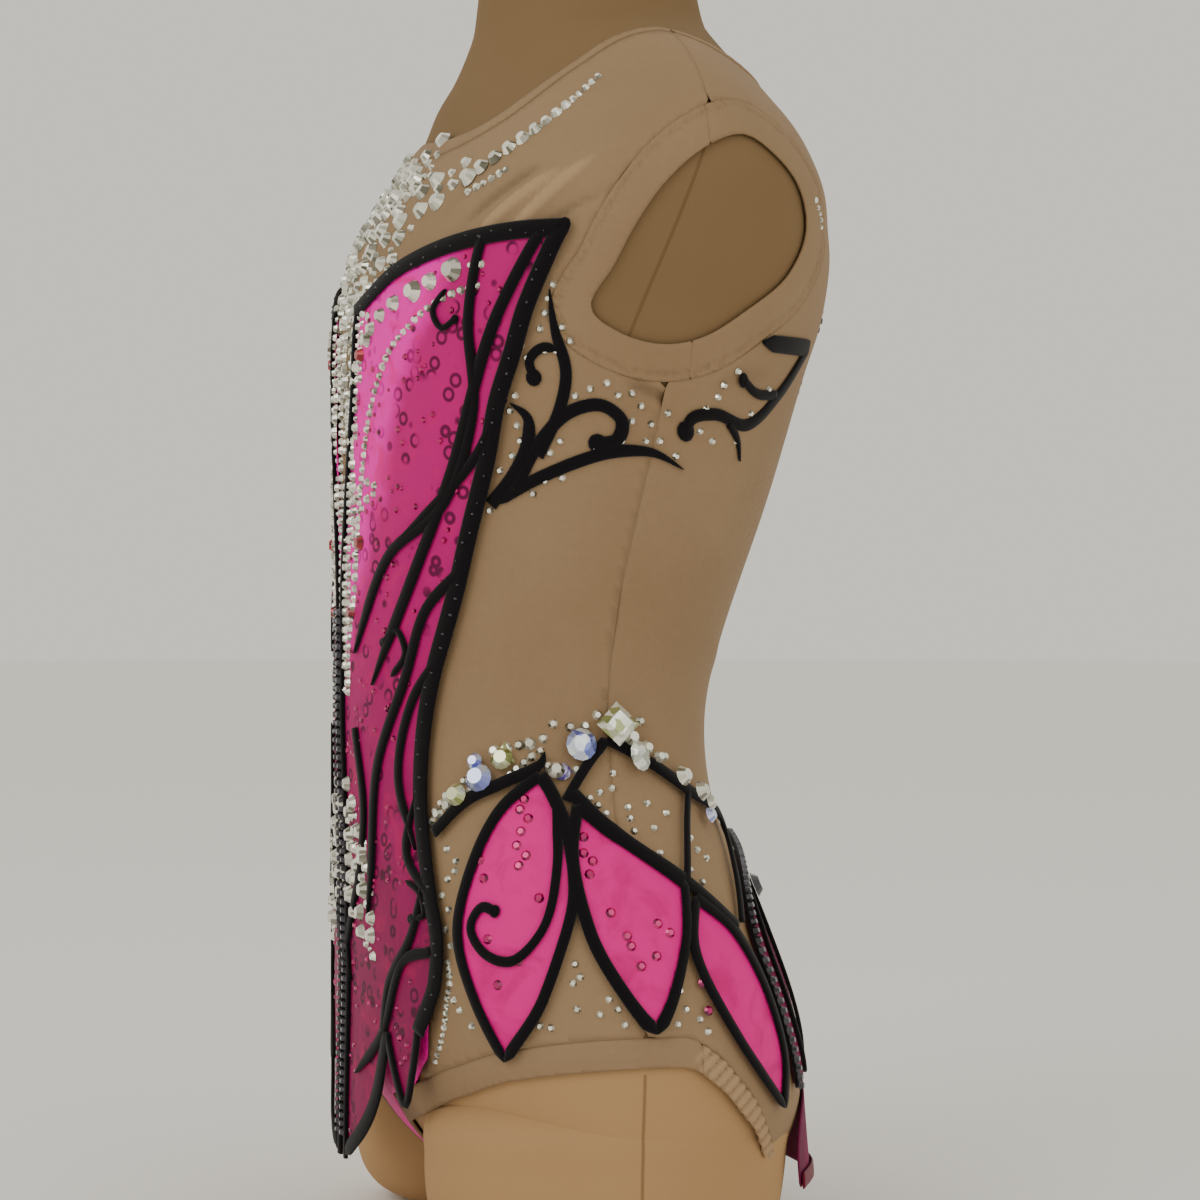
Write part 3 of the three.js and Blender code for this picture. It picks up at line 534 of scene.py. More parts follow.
def cut_cloth(spread, low, high, step, keep):
    """A flat piece of cloth on the cutting plane: a grid is trimmed where keep turns negative."""
    bm = bmesh.new()
    columns, rows = int(2 * spread / step), int((high - low) / step)
    bmesh.ops.create_grid(bm, x_segments=columns, y_segments=rows, size=1)
    bmesh.ops.triangulate(bm, faces=bm.faces[:])
    flat = coordinates(bm)[:, :2]
    flat = np.stack([flat[:, 0] * spread, low + (flat[:, 1] + 1) / 2 * (high - low)], axis=1)
    value = keep(flat)
    ends = np.array([[edge.verts[0].index, edge.verts[1].index] for edge in bm.edges])
    first, second = value[ends[:, 0]], value[ends[:, 1]]
    cut = ends[first * second < 0]
    share = value[cut[:, 0]] / (value[cut[:, 0]] - value[cut[:, 1]])
    near = np.where(share < 0.5, cut[:, 0], cut[:, 1])
    target = flat[cut[:, 0]] + (flat[cut[:, 1]] - flat[cut[:, 0]]) * share[:, None]
    move = np.linalg.norm(target - flat[near], axis=1)
    for k in np.argsort(-move):
        flat[near[k]] = target[k]
        value[near[k]] = 0
    for vert, (x, z) in zip(bm.verts, flat):
        vert.co = (x, z, 0)
    outside = [vert for vert, there in zip(bm.verts, value) if there < 0]
    bmesh.ops.delete(bm, geom=outside, context="VERTS")
    loose = [vert for vert in bm.verts if not vert.link_faces]
    bmesh.ops.delete(bm, geom=loose, context="VERTS")
    return bm


def bend(bm, centre=0.0, hang=0.0, ease=0.0, out=0.0):
    """Bends what lies on the cutting plane round the trunk, in metres. Its z is the way out."""
    flat = coordinates(bm)
    angle = centre + flat[:, 0] / mean_radius(np.maximum(flat[:, 1], hang))
    extra = ease(flat[:, :2], angle) if callable(ease) else np.full(len(flat), float(ease))
    move_to(bm, trunk_out(angle, flat[:, 1], flat[:, 2] + out + extra, hang) * MM)
    # The ease is kept as the fold height, which mesh_material turns into painted shade in the troughs and
    # a painted highlight on the ridges.
    fold = bm.verts.layers.float.new("fold")
    for vert, height in zip(bm.verts, extra):
        vert[fold] = height


def flat_size(bm):
    flat = coordinates(bm)
    width, length = (flat.max(axis=0) - flat.min(axis=0))[:2] * MM
    return (float(width), float(length)), float(sum(face.calc_area() for face in bm.faces)) * MM * MM


def surface_at(angle, z):
    """Places on the cloth's outside, where y has the tables' own zero."""
    at = trunk_out(angle, z, CLOTH_OUT)
    at[:, 1] -= SHIFT_Y
    return at


def surface_place(flat, centre):
    return surface_at(centre + flat[:, 0] / mean_radius(flat[:, 1]), flat[:, 1])


def mesh_material(name, light, dark):
    """Stretch mesh: fine knit, nearly opaque, faint uneven stretch; folds get painted shade and highlight.
    """
    made, shader, places = material(name, light, 0.7, Specular_IOR_Level=0.25)
    uneven = places.noise(9, 3).between(0.3, 0.7) * 0.5 + places.noise(260, 1) * 0.25
    knit = places.noise(1900, 0)
    fold = places.node("ShaderNodeAttribute", {"attribute_name": "fold"}, {}, output=2)
    ground = uneven.blend(light, dark)
    # Painted shade darkens the cloth where its fold height dips in, and a painted highlight lightens it
    # where the fold stands well out.
    painted_trough_shade = tuple(0.45 * value for value in dark[:3]) + (1,)
    painted_ridge_highlight = tuple(1.5 * value for value in light[:3]) + (1,)
    ground = (fold.between(-0.1, -1.5) * 0.45).blend(ground, painted_trough_shade)
    ground = (fold.between(0.5, 2.0) * 0.6).blend(ground, painted_ridge_highlight)
    feed(shader, Base_Color=ground, Normal=bump(knit, 0.0004, 0.3))
    return made


nude = mesh_material("nude_mesh", rgb(152, 125, 94), rgb(132, 106, 76))
BODY_STEP = 2.8
SIDE_REACH = 285
BODY_LOW, BODY_HIGH = 10, 575
FAR_SIDE = 0.85
CHEST_CREASES = [
    # from right, from up, to right, to up, width, height
    [-62, 164, -14, 205, 3.6, 2.4], [-66, 174, -24, 206, 3.2, -1.6], [-48, 162, 4, 212, 3.6, 2.4],
    [-36, 166, 8, 196, 3.0, -1.6], [-78, 172, -40, 214, 5.0, -0.6], [-20, 178, 22, 206, 4.0, 0.6],
    [14, 114, 44, 96, 2.8, 2.0], [10, 104, 40, 86, 2.8, -1.5], [24, 116, 52, 106, 3.0, 0.7],
    [-14, 30, 6, 52, 6.0, 0.4], [0, -20, 14, 6, 6.0, 0.4]]
BACK_CREASES = [
    # from right, from up, to right, to up, width, height
    [44, 110, 78, 122, 4.0, 0.9], [48, 98, 84, 106, 4.5, -0.7], [60, 70, 82, 96, 5.0, 0.6],
    [84, 150, 96, 190, 5.0, 0.6], [36, 40, 60, 20, 6.0, 0.5], [40, -10, 56, -36, 5.0, 0.5],
    [52, -120, 64, -160, 4.0, 0.5], [74, 176, 92, 208, 4.0, -0.6]]


def mirror_even(table, flat):
    """The same creases on both sides, a little weaker on the far one."""
    return creases(flat, table) + FAR_SIDE * creases(flat * np.array([-1, 1]), table)


def front_keep(flat):
    at = surface_place(flat, 0)
    return np.minimum.reduce([in_body(at), -behind_seam(at), -in_brief(at, SEAM_GAP)])


def back_keep(flat):
    at = surface_place(flat, math.pi)
    return np.minimum(in_body(at), behind_seam(at) - SEAM_GAP)


def back_ease(flat, angle):
    """The side drawing measures from centre front, so the back's places are carried there."""
    near, far = [np.stack([turn * mean_radius(flat[:, 1]), flat[:, 1]], axis=1)
                 for turn in (angle, 2 * math.pi - angle)]
    return creases(near, BACK_CREASES) + FAR_SIDE * creases(far, BACK_CREASES)


for name, node, centre, keep, ease in (
        ("nude_front", "front_body", 0, front_keep, lambda flat, angle: mirror_even(CHEST_CREASES, flat)),
        ("nude_back", "back_body", math.pi, back_keep, back_ease)):
    bm = cut_cloth(SIDE_REACH, BODY_LOW, BODY_HIGH, BODY_STEP, keep)
    size = flat_size(bm)
    bend(bm, centre, 0, ease, CLOTH_OUT)
    put(bm, name, nude, node, wall=CLOTH_WALL)

# Bindings: folded strips of the same mesh round the neck, the armholes and the legs, sewn with a
# zigzag. The leg bindings are gathered round the back of the thigh.
NECK_STEP = 1.8
GATHER_STEP = 1.3
GATHERS = 14
GATHER_PITCH = 4.9
GATHER_FROM = (12, 94)
GATHER_RUN = (0.66, -0.75)
GATHER_HEIGHT = 1.7
BINDING_WALL = 1.0
BINDING_PARTS_AT = 20
STITCH_PITCH, STITCH_WIDTH = 1.6, 0.9


def roll(value, band, height):
    """A folded edge is thickest at its middle and thin where it is sewn down."""
    share = np.clip(value / band, 0, 1)
    return height * np.sqrt(np.clip(4 * share * (1 - share), 0, 1))


def neck_keep(centre):
    def keep(flat):
        at = surface_place(flat, centre)
        seam_side = behind_seam(at) if centre else -behind_seam(at)
        return np.minimum.reduce([beyond_neck(at, 0), -beyond_neck(at, NECK_BAND), seam_side])
    return keep


def band(keep_from, ease, low, high, step):
    """A binding in two parts, one on the front's cutting plane and one on the back's."""
    whole = bmesh.new()
    for centre in (0, math.pi):
        part = cut_cloth(SIDE_REACH, low, high, step, keep_from(centre))
        bend(part, centre, 0, ease, CLOTH_OUT)
        add_to(whole, part)
    return whole


def flipped(bm):
    other = bm.copy()
    bmesh.ops.scale(other, vec=(-1, 1, 1), verts=other.verts[:])
    bmesh.ops.reverse_faces(other, faces=other.faces[:])
    return other


def neck_ease(flat, angle):
    return roll(beyond_neck(surface_at(angle, flat[:, 1]), 0), NECK_BAND, 0.5)


put(band(neck_keep, neck_ease, 478, 566, NECK_STEP), "neck_edge", nude, "neck_binding", wall=BINDING_WALL)


def left_keep(inner, centre):
    """Keeps what lies on the wearer's left and on this side of the side seam's line."""
    def keep(flat):
        at = surface_place(flat, centre)
        half = at[:, 1] - BINDING_PARTS_AT if centre else BINDING_PARTS_AT - at[:, 1]
        return np.minimum.reduce([inner(at), at[:, 0] - 0.5, half + 0.01])
    return keep


def arm_inner(at):
    return np.minimum(beyond_arms(at, 0), -beyond_arms(at, ARM_BAND))


# The zigzag's groove and the leg's gathers go into the fold height, so the grooves get painted shade and
# the gathers' ridges a painted highlight.
def arm_ease(flat, angle):
    at = surface_at(angle, flat[:, 1])
    away = beyond_arms(at, 0)
    wave = np.sin(at[:, 2] * STITCH_PITCH) * np.sign(np.sin(at[:, 1] * STITCH_PITCH))
    zigzag = away - ARM_BAND + 3 + STITCH_WIDTH * wave
    return roll(away, ARM_BAND, 0.45) - 0.9 * np.exp(-(zigzag / STITCH_WIDTH) ** 2)


def leg_inner(at):
    return np.minimum(above_legs(at, 0), -above_legs(at, LEG_BAND))


def leg_ease(flat, angle):
    at = surface_at(angle, flat[:, 1])
    higher = above_legs(at, 0)
    back = np.clip((at[:, 1] - 12) / 12, 0, 1)
    along = (at[:, 1] - GATHER_FROM[0]) * GATHER_RUN[0] + (at[:, 2] - GATHER_FROM[1]) * GATHER_RUN[1]
    turn = math.pi * np.clip(along / GATHER_PITCH, 0, GATHERS)
    ridges = GATHER_HEIGHT * back * np.abs(np.sin(turn)) ** 0.8
    stitched = sum(0.3 * np.exp(-((higher - line) / STITCH_WIDTH) ** 2) for line in (2.5, 10))
    return roll(higher, LEG_BAND, 0.55) + ridges - stitched * (1 - back)


def both_sides(bm, name, node, look, wall=0.0):
    """A left piece and its mirror image."""
    return [put(part, f"{name}_{side}", look, f"{node}_{side}", wall=wall)
            for side, part in (("left", bm), ("right", flipped(bm)))]


for name, node, inner, ease, low, high in (
        ("arm_edge", "armhole_band", arm_inner, arm_ease, 380, 512),
        ("leg_edge", "leg_binding", leg_inner, leg_ease, 10, 125)):
    bm = band(lambda centre: left_keep(inner, centre), ease, low, high, GATHER_STEP)
    both_sides(bm, name, node, nude, BINDING_WALL)

# Brief: hot pink stretch cloth with a narrow crotch piece, set into the front between the leg
# bindings and hidden higher up under the hanging panels.
brief_look, shader, places = material("brief_pink", rgb(250, 6, 140), 0.5, Specular_IOR_Level=0.2)
feed(shader, Base_Color=places.noise(40).blend(rgb(255, 0, 176), rgb(240, 0, 150)),
     Normal=bump(places.noise(1500, 0), 0.0003, 0.25))


def brief_keep(flat):
    at = surface_place(flat, 0)
    return np.minimum.reduce([in_brief(at, 0), above_legs(at, LEG_BAND + SEAM_GAP)])


bm = cut_cloth(110, BODY_LOW, 180, 2.6, brief_keep)
size = flat_size(bm)
bend(bm, 0, 0, 0, CLOTH_OUT)
brief = put(bm, "brief", brief_look, "brief_front", wall=CLOTH_WALL)

# Front panels: two painted stretch panels, sewn on along the top and the outer edge, with free
# pointed ends that hang straight. Pink at the top, plum below, with soft blotches and small rings.
PANEL_OUT = 4.0
PANEL_EASE = 0.4
PANEL_STEP = 2.8
HANG_HEIGHT = 125
FREE_FROM, FREE_RUN = 145, 90
FREE_OUT, RIPPLE = 0.9, 1.1
PANEL_TOP = [[-106, 141], [-94, 153], [-80, 161], [-61, 168], [-37.6, 173], [-17, 175]]
PANEL_OUTER = [
    [-17, 175], [-25, 160], [-33, 141], [-40, 117], [-47, 94], [-52, 66], [-61, 28], [-66, 5],
    [-71, -14], [-76, -33], [-80, -56], [-82, -85], [-81, -108], [-77, -141], [-74, -160],
    [-75, -181], [-82, -203]]
POINT_OUTER = [[-82, -203], [-84, -222], [-87, -237], [-93, -221], [-97, -203]]
POINT_INNER = [[-97, -203], [-99, -216], [-102, -233], [-107, -248]]
INNER_EDGE = [[1, 36], [1, 120], [1, 200], [1, 250], [1.5, 300], [8, 345], [15, 385], [17, 422]]
top_edge = curve_through([[17, 422], *drawn(PANEL_TOP, HANG_HEIGHT)], 4)
outer_edge = curve_through(drawn(PANEL_OUTER, HANG_HEIGHT), 4)
outer_point = curve_through(drawn(POINT_OUTER, HANG_HEIGHT), 3)
inner_point = curve_through([*drawn(POINT_INNER, HANG_HEIGHT), [1, 36]], 3)
inner_edge = curve_through(INNER_EDGE, 5)
panel_outline = np.concatenate(
    [top_edge, outer_edge[1:], outer_point[1:], inner_point[1:], inner_edge[1:-1]])


def panel_ease(flat, angle):
    """The panel stands a little off the mesh, and its free end ripples."""
    free = np.clip((FREE_FROM - flat[:, 1]) / FREE_RUN, 0, 1)
    return PANEL_EASE + free * (FREE_OUT + RIPPLE * np.sin(flat[:, 0] / 9 + 0.5))


panel_look, shader, places = material("panel_pink", rgb(205, 0, 105), 0.55, Specular_IOR_Level=0.2)
across, along, height = axes(places)
across = across.math("ABSOLUTE", across)
cloudy = places.noise(28, 3, 0.8)
low_plum = (height + cloudy * 0.12).between(0.42, 0.17)
ground = low_plum.blend(rgb(190, 0, 114), rgb(132, 0, 74))
hot = ((height - 0.235) * 0.5 - across + (cloudy - 0.5) * 0.03).between(-0.006, 0.012)
ground = hot.blend(ground, rgb(255, 0, 184))
wash = places.noise(60, 4, 1.5).between(0.5, 0.72) * 0.5 * hot.between(-0.6, 0.8)
ground = wash.blend(ground, rgb(226, 0, 96))
cell = {"Vector": places, "Scale": 115.0, "Randomness": 1.0}
ring = places.node("ShaderNodeTexVoronoi", {}, cell)
drawn_ring = ring.between(0.18, 0.27) * ring.between(0.44, 0.34)
clusters = places.noise(46, 1).between(0.44, 0.54)
marks = drawn_ring * clusters * (1 - hot * 0.55)
feed(shader, Base_Color=(marks * 0.85).blend(ground, rgb(60, 0, 38)),
     Normal=bump(places.noise(1500, 0), 0.0003, 0.25))
bm = cut_cloth(185, 20, 470, PANEL_STEP, lambda flat: inside_outline(panel_outline, flat))
size = flat_size(bm)
bend(bm, 0, HANG_HEIGHT, panel_ease, PANEL_OUT)
for panel in both_sides(bm, "panel", "front_panel", panel_look, CLOTH_WALL):
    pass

# Panel velvet: black velvet borders and long crossing leaf lines, cut from strips and glued to the
# panels. Each line is pointed where it ends free.
TRIM_IN, TRIM_OUT = 4.1, 6.0
BORDER = 7.5
SECTION = 8
EDGE_POWER, TIP_POWER, TIP_START = 0.6, 0.7, 0.3
STRIP_JOIN = 0.001


def lay_line(bm, path, width, start_tip=0, end_tip=0, ball=0, low=TRIM_IN, high=TRIM_OUT, step=2.4):
    """Adds a strip with rounded edges along a path on the cutting plane."""
    path = curve_through(path, step)
    run = np.concatenate([[0], np.cumsum(np.linalg.norm(np.diff(path, axis=0), axis=1))])
    along = unit(np.gradient(path, axis=0))
    half = np.full(len(path), width / 2)
    if start_tip:
        half *= np.clip((run + TIP_START) / start_tip, 0, 1) ** TIP_POWER
    if end_tip:
        half *= np.clip((run[-1] - run + TIP_START) / end_tip, 0, 1) ** TIP_POWER
    strip = bmesh.new()
    bmesh.ops.create_grid(strip, x_segments=len(path) - 1, y_segments=SECTION, size=1)
    grid = coordinates(strip)
    station = np.rint((grid[:, 0] + 1) / 2 * (len(path) - 1)).astype(int)
    turn = (grid[:, 1] + 1) * math.pi
    wide, up = [np.sign(wave) * np.abs(wave) ** EDGE_POWER for wave in (np.cos(turn), np.sin(turn))]
    aside = wide * half[station]
    level = up * (high - low) / 2 + (high + low) / 2
    for vert, k, off, z in zip(strip.verts, station, aside, level):
        vert.co = (path[k, 0] - along[k, 1] * off, path[k, 1] + along[k, 0] * off, z)
    bmesh.ops.remove_doubles(strip, verts=strip.verts[:], dist=STRIP_JOIN)
    bmesh.ops.holes_fill(strip, edges=[edge for edge in strip.edges if edge.is_boundary])
    if ball:
        middle = Vector((*path[-1], (low + high) / 2))
        stretch = Matrix.Diagonal((1, 1, (high - low) / 2 / ball, 1))
        bmesh.ops.create_icosphere(
            strip, subdivisions=2, radius=ball, matrix=Matrix.Translation(middle) @ stretch)
    bmesh.ops.recalc_face_normals(strip, faces=strip.faces[:])
    add_to(bm, strip)


velvet, shader, places = material(
    "black_velvet", (0.005, 0.004, 0.005, 1), 1.0, Sheen_Weight=0.12, Specular_IOR_Level=0.1)
feed(shader, Normal=bump(places.noise(2600, 0), 0.0005, 0.4))
LEAF_LINES = [
    # width, tip at the end, pairs of right and up
    (6.0, 30, [[-27, 172], [-52, 120], [-68, 60], [-86, 10], [-104, -40]]),
    (5.4, 24, [[-53, 170], [-60, 130], [-58, 90], [-72, 45], [-97, 20], [-112, -25]]),
    (5.2, 24, [[-63, 15], [-80, -5], [-90, -40], [-102, -80], [-104, -115], [-106, -150]]),
    (4.6, 20, [[-44, 96], [-58, 66], [-80, 40], [-92, 28]]),
    (4.6, 20, [[-72, -24], [-86, -48], [-92, -84], [-84, -118]]),
    (4.6, 20, [[-77, -140], [-88, -120], [-84, -92]]),
    (4.8, 16, [[-76, -165], [-90, -170], [-99, -203], [-110, -222]]),
    (4.6, 20, [[-99, -203], [-96, -180], [-86, -158], [-80, -130]]),
    (4.6, 24, [[-112, -60], [-108, -100], [-112, -140], [-118, -176]]),
]
CURLS = [
    # width, ball, pairs of right and up
    (3.0, 2.4, [[-95, -36], [-89, -25], [-93, -14], [-99, -20]]),
    (2.8, 2.2, [[-70, 146], [-76, 136], [-72, 128], [-66, 132]]),
    (2.8, 2.2, [[-88, -132], [-82, -138], [-80, -148], [-86, -150]]),
]
bm = bmesh.new()
lay_line(bm, inner_edge + np.array([2.2, 0]), 3.4)
lay_line(bm, top_edge, BORDER, ball=BORDER * 0.56)
lay_line(bm, outer_edge, BORDER + 1)
lay_line(bm, outer_point, 4)
lay_line(bm, np.concatenate([inner_point[:-2], [[5, 38]]]), BORDER, end_tip=6)
for width, tip, pairs in LEAF_LINES:
    lay_line(bm, drawn(pairs, HANG_HEIGHT), width, end_tip=tip)
for width, ball, pairs in CURLS:
    lay_line(bm, drawn(pairs, HANG_HEIGHT), width, start_tip=3, ball=ball, step=1.4)
bend(bm, 0, HANG_HEIGHT, panel_ease)
both_sides(bm, "panel_velvet", "panel_trim", velvet)

# Velvet scrolls in front of and behind the side seam: curling strips of the same black velvet, pointed
# or ending in a small disc, glued straight to the nude mesh.
SCROLL_IN, SCROLL_OUT = 2.1, 3.5
FRONT_SCROLL = [
    # width, tip at the start, tip at the end, ball, pairs of right and up
    (5.4, 26, 0, 0, [[-23.5, 147], [-21, 127], [-16, 108], [-19, 90], [-29, 68]]),
    (4.4, 5, 0, 3.8, [[-19, 118], [-27, 119], [-33, 113], [-31, 105]]),
    (6.0, 16, 0, 0, [[-42, 93], [-34, 86], [-34, 74], [-40, 60], [-51, 45]]),
    (5.6, 0, 0, 4.4, [[-40, 52], [-28, 75], [-14, 89], [1, 92], [10, 85], [8, 76], [-1, 74]]),
    (5.4, 8, 26, 0, [[-51, 45], [-26, 59], [5, 70], [24, 70], [39, 62]]),
]
BACK_SCROLL = [
    # width, tip at the start, tip at the end, ball, pairs of right and up
    (5.4, 0, 0, 4.6, [[97, 119], [84, 98], [68, 83], [54, 88], [43, 86], [40, 80]]),
    (4.4, 0, 12, 0, [[60, 84], [64, 76], [65, 66]]),
    (4.4, 0, 0, 3.4, [[82, 97], [73, 98], [67, 104]]),
    (7.5, 0, 9, 0, [[97, 119], [84, 121], [76, 122]]),
]
for name, node, strokes in (
        ("scroll_front", "front_scroll", FRONT_SCROLL), ("scroll_back", "back_scroll", BACK_SCROLL)):
    bm = bmesh.new()
    for width, start_tip, end_tip, ball, pairs in strokes:
        lay_line(bm, drawn(pairs), width, start_tip, end_tip, ball, SCROLL_IN, SCROLL_OUT, 1.5)
    bend(bm)
    both_sides(bm, name, node, velvet)

# Hip petals: flat pink petals cut from satin stretch cloth, each with its own seam allowance under
# the velvet, laid from the belt down over the hips.
petal_look, shader, places = material("petal_pink", rgb(228, 0, 134), 0.5, Specular_IOR_Level=0.2)
blotch = places.noise(55, 3, 1.0).between(0.45, 0.75) * 0.6
feed(shader, Base_Color=blotch.blend(rgb(232, 0, 138), rgb(192, 0, 104)),
     Normal=bump(places.noise(1500, 0), 0.0003, 0.25))
PETALS = {
    # two edges from tip to tip, each as pairs of right and up
    "front": ([[-28, -84], [-46, -100], [-59, -127], [-65, -155], [-57, -188], [-43, -216]],
              [[-43, -216], [-26, -188], [-13, -146], [-15, -113], [-23, -92], [-28, -84]]),
    "middle": ([[-11, -98], [-13, -122], [-5, -157], [11, -186], [26, -204]],
               [[26, -204], [34, -186], [39, -160], [38, -135], [11, -115], [-11, -98]]),
    "back": ([[43, -141], [43, -165], [63, -206], [84, -238]],
             [[84, -238], [84, -214], [75, -183], [61, -157], [43, -141]]),
}
PETAL_STEP = 2.2
petal_edges = {where: [drawn(edge) for edge in edges] for where, edges in PETALS.items()}
for where, (down, up) in petal_edges.items():
    outline = np.concatenate([curve_through(down, 3)[:-1], curve_through(up, 3)[:-1]])
    middle, spread = outline[:, 0].mean(), np.ptp(outline[:, 0]) / 2 + 12
    low, high = outline[:, 1].min() - 3, outline[:, 1].max() + 3
    shifted = outline - np.array([middle, 0])
    bm = cut_cloth(spread, low, high, PETAL_STEP, lambda flat: inside_outline(shifted, flat))
    for vert in bm.verts:
        vert.co.x += middle
    size = flat_size(bm)
    bend(bm, 0, 0, 0, PANEL_OUT)
    for petal in both_sides(bm, f"petal_{where}", f"hip_petal_{where}", petal_look, CLOTH_WALL):
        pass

# Hip velvet: the belt's lines, the petals' outlines and a curl in the front petal, cut from black
# velvet as one piece a side and glued over the petals' raw edges.
HIP_LINES = [
    # width, tip at the start, tip at the end, ball, pairs of right and up
    (5.6, 0, 8, 0, [[-76, -110], [-61, -95], [-44, -87], [-28, -79], [-26, -73]]),
    (4.8, 0, 0, 0, [[-16, -96], [-7, -80], [2, -67]]),
    (4.8, 0, 0, 0, [[2, -67], [20, -77], [38, -90], [55, -107], [61, -130], [64, -153]]),
    (5.2, 0, 0, 0, [[-14, -92], [9, -113], [39, -134], [62, -155]]),
    (4.2, 0, 0, 0, [[39, -90], [39, -134]]),
    (4.4, 20, 0, 2.8, [[-22, -90], [-20, -127], [-26, -155], [-40, -170], [-53, -166], [-59, -154],
                       [-54, -145], [-48, -147]]),
]
PETAL_BORDER, PETAL_TIP = 5.4, 5
bm = bmesh.new()
for where, (down, up) in petal_edges.items():
    corner = 4 if where == "middle" else len(up)
    lay_line(bm, down, PETAL_BORDER, end_tip=PETAL_TIP)
    lay_line(bm, up[:corner], PETAL_BORDER, start_tip=PETAL_TIP)
    if corner < len(up):
        lay_line(bm, up[corner - 1:], PETAL_BORDER)
for width, start_tip, end_tip, ball, pairs in HIP_LINES:
    lay_line(bm, drawn(pairs), width, start_tip, end_tip, ball, step=1.8)
bend(bm)
both_sides(bm, "hip_velvet", "hip_trim", velvet)

# Centre back: a dark mesh piece down the spine, a plum piece over the seat with velvet leaf lines,
# and a small hanging layer under it with a wine-coloured bound hem.
BACK_STEP = 2.4
BACK_OUT = 3.4
BACK_DROP = -0.6
SPINE = np.array([
    # half width, z
    [5, 482], [13, 462], [20, 440], [30, 424], [20, 412], [23, 396], [18, 372], [16, 340],
    [14, 305], [12, 270], [12, 240], [14, 215], [20, 186]], float)
HIP_BACK = np.array([
    # half width, z
    [36, 183], [70, 172], [91, 158], [103, 142], [105, 124], [104, 106], [100, 90], [94, 77]], float)
SKIRT = np.array([
    # half width, z
    [60, 73], [82, 60], [90, 45], [86, 30]], float)
SKIRT_HANG = 74
SKIRT_WAVES = 9
SKIRT_FLARE = 44
SKIRT_OUT, HEM_LOW, HEM_HIGH = 3.3, 3.5, 4.7
HEM_HEIGHT, HEM_WIDTH = 33, 7.5


def both_edges(table, step):
    edge = curve_through(table, step)
    return np.concatenate([edge, (edge * np.array([-1, 1]))[::-1]])


# The flare also goes into the fold height, so the lower skirt gets a painted highlight, strongest on its
# waves' crests.
def skirt_ease(flat, angle):
    down = np.clip((SKIRT_HANG - flat[:, 1]) / SKIRT_FLARE, 0, 1)
    return down * (2.5 + 1.6 * np.cos(angle * SKIRT_WAVES))


dark = mesh_material("dark_mesh", rgb(40, 14, 30), rgb(22, 8, 16))
plum = mesh_material("plum_mesh", rgb(116, 0, 66), rgb(80, 0, 44))
wine = material("wine_binding", rgb(104, 0, 40), 0.5, Specular_IOR_Level=0.25)[0]
for name, node, table, look, hang, ease, out in (
        ("spine", "back_spine", SPINE, dark, 0, 0, BACK_OUT),
        ("hip_plum", "back_hip_panel", HIP_BACK, plum, 0, 0, BACK_OUT),
        ("skirt", "back_skirt", SKIRT, plum, SKIRT_HANG, skirt_ease, SKIRT_OUT)):
    outline = both_edges(table, 3)
    low, high = table[:, 1].min() - 3, table[:, 1].max() + 3
    bm = cut_cloth(table[:, 0].max() + 6, low, high, BACK_STEP, lambda flat: inside_outline(outline, flat))
    size = flat_size(bm)
    bend(bm, math.pi, hang, ease, out)
    piece = put(bm, name, look, node, wall=CLOTH_WALL)
HIP_TOP = 186
MIDDLE_LINES = [
    # width, pairs of length from the middle and height
    (4.6, [[0, HIP_TOP], [0, 150], [0, 110], [0, 78]]),
    (4.6, [HIP_BACK[0] * (-1, 1), [0, HIP_TOP], HIP_BACK[0]]),
]
SIDE_LINES = [
    # width, pairs of length from the middle and height, with their mirror image
    (4.6, HIP_BACK),
    (4.2, [[0, HIP_TOP], [20, 170], [34, 140], [24, 104], [0, 80]]),
    (3.6, [[46, 176], [64, 144], [62, 108], [44, 80]]),
    (3.4, [[70, 166], [86, 136], [84, 104], [70, 80]]),
]
bm = bmesh.new()
for width, pairs in MIDDLE_LINES:
    lay_line(bm, pairs, width)
for width, pairs in SIDE_LINES:
    lay_line(bm, pairs, width)
    lay_line(bm, np.array(pairs) * (-1, 1), width)
bend(bm, math.pi, 0, BACK_DROP)
put(bm, "back_velvet", velvet, "back_trim")
bm = bmesh.new()
hem_line = [[across, HEM_HEIGHT] for across in (-86, -43, 0, 43, 86)]
lay_line(bm, hem_line, HEM_WIDTH, low=HEM_LOW, high=HEM_HIGH)
bend(bm, math.pi, SKIRT_HANG, lambda flat, angle: skirt_ease(flat, angle) + 0.5)
put(bm, "hem", wine, "skirt_hem")

# Large hip stones: foil-backed cut glass, one of each shape a side, glued to the belt. They keep the
# solids' form, so only their glass is made here.
def hip_glass(name, colour, tint, scale):
    """A large stone's facets, told apart by where they lie on the stone, each with a painted glint."""
    made, shader, places = material(name, colour, 0.1, Metallic=0.5, Coat_Weight=0.8)
    sockets = {"Vector": places, "Scale": scale}
    cut = places.node("ShaderNodeTexVoronoi", {"feature": "F1"}, sockets, output=1)
    shade = cut.node("ShaderNodeSeparateColor", {}, {"Color": cut})
    # Painted reflection: cells run from the glass's own tint to a pale colour that stands in for light off
    # the facets.
    feed(shader, Base_Color=shade.between(0.15, 0.85).blend(tint, colour))
    return made


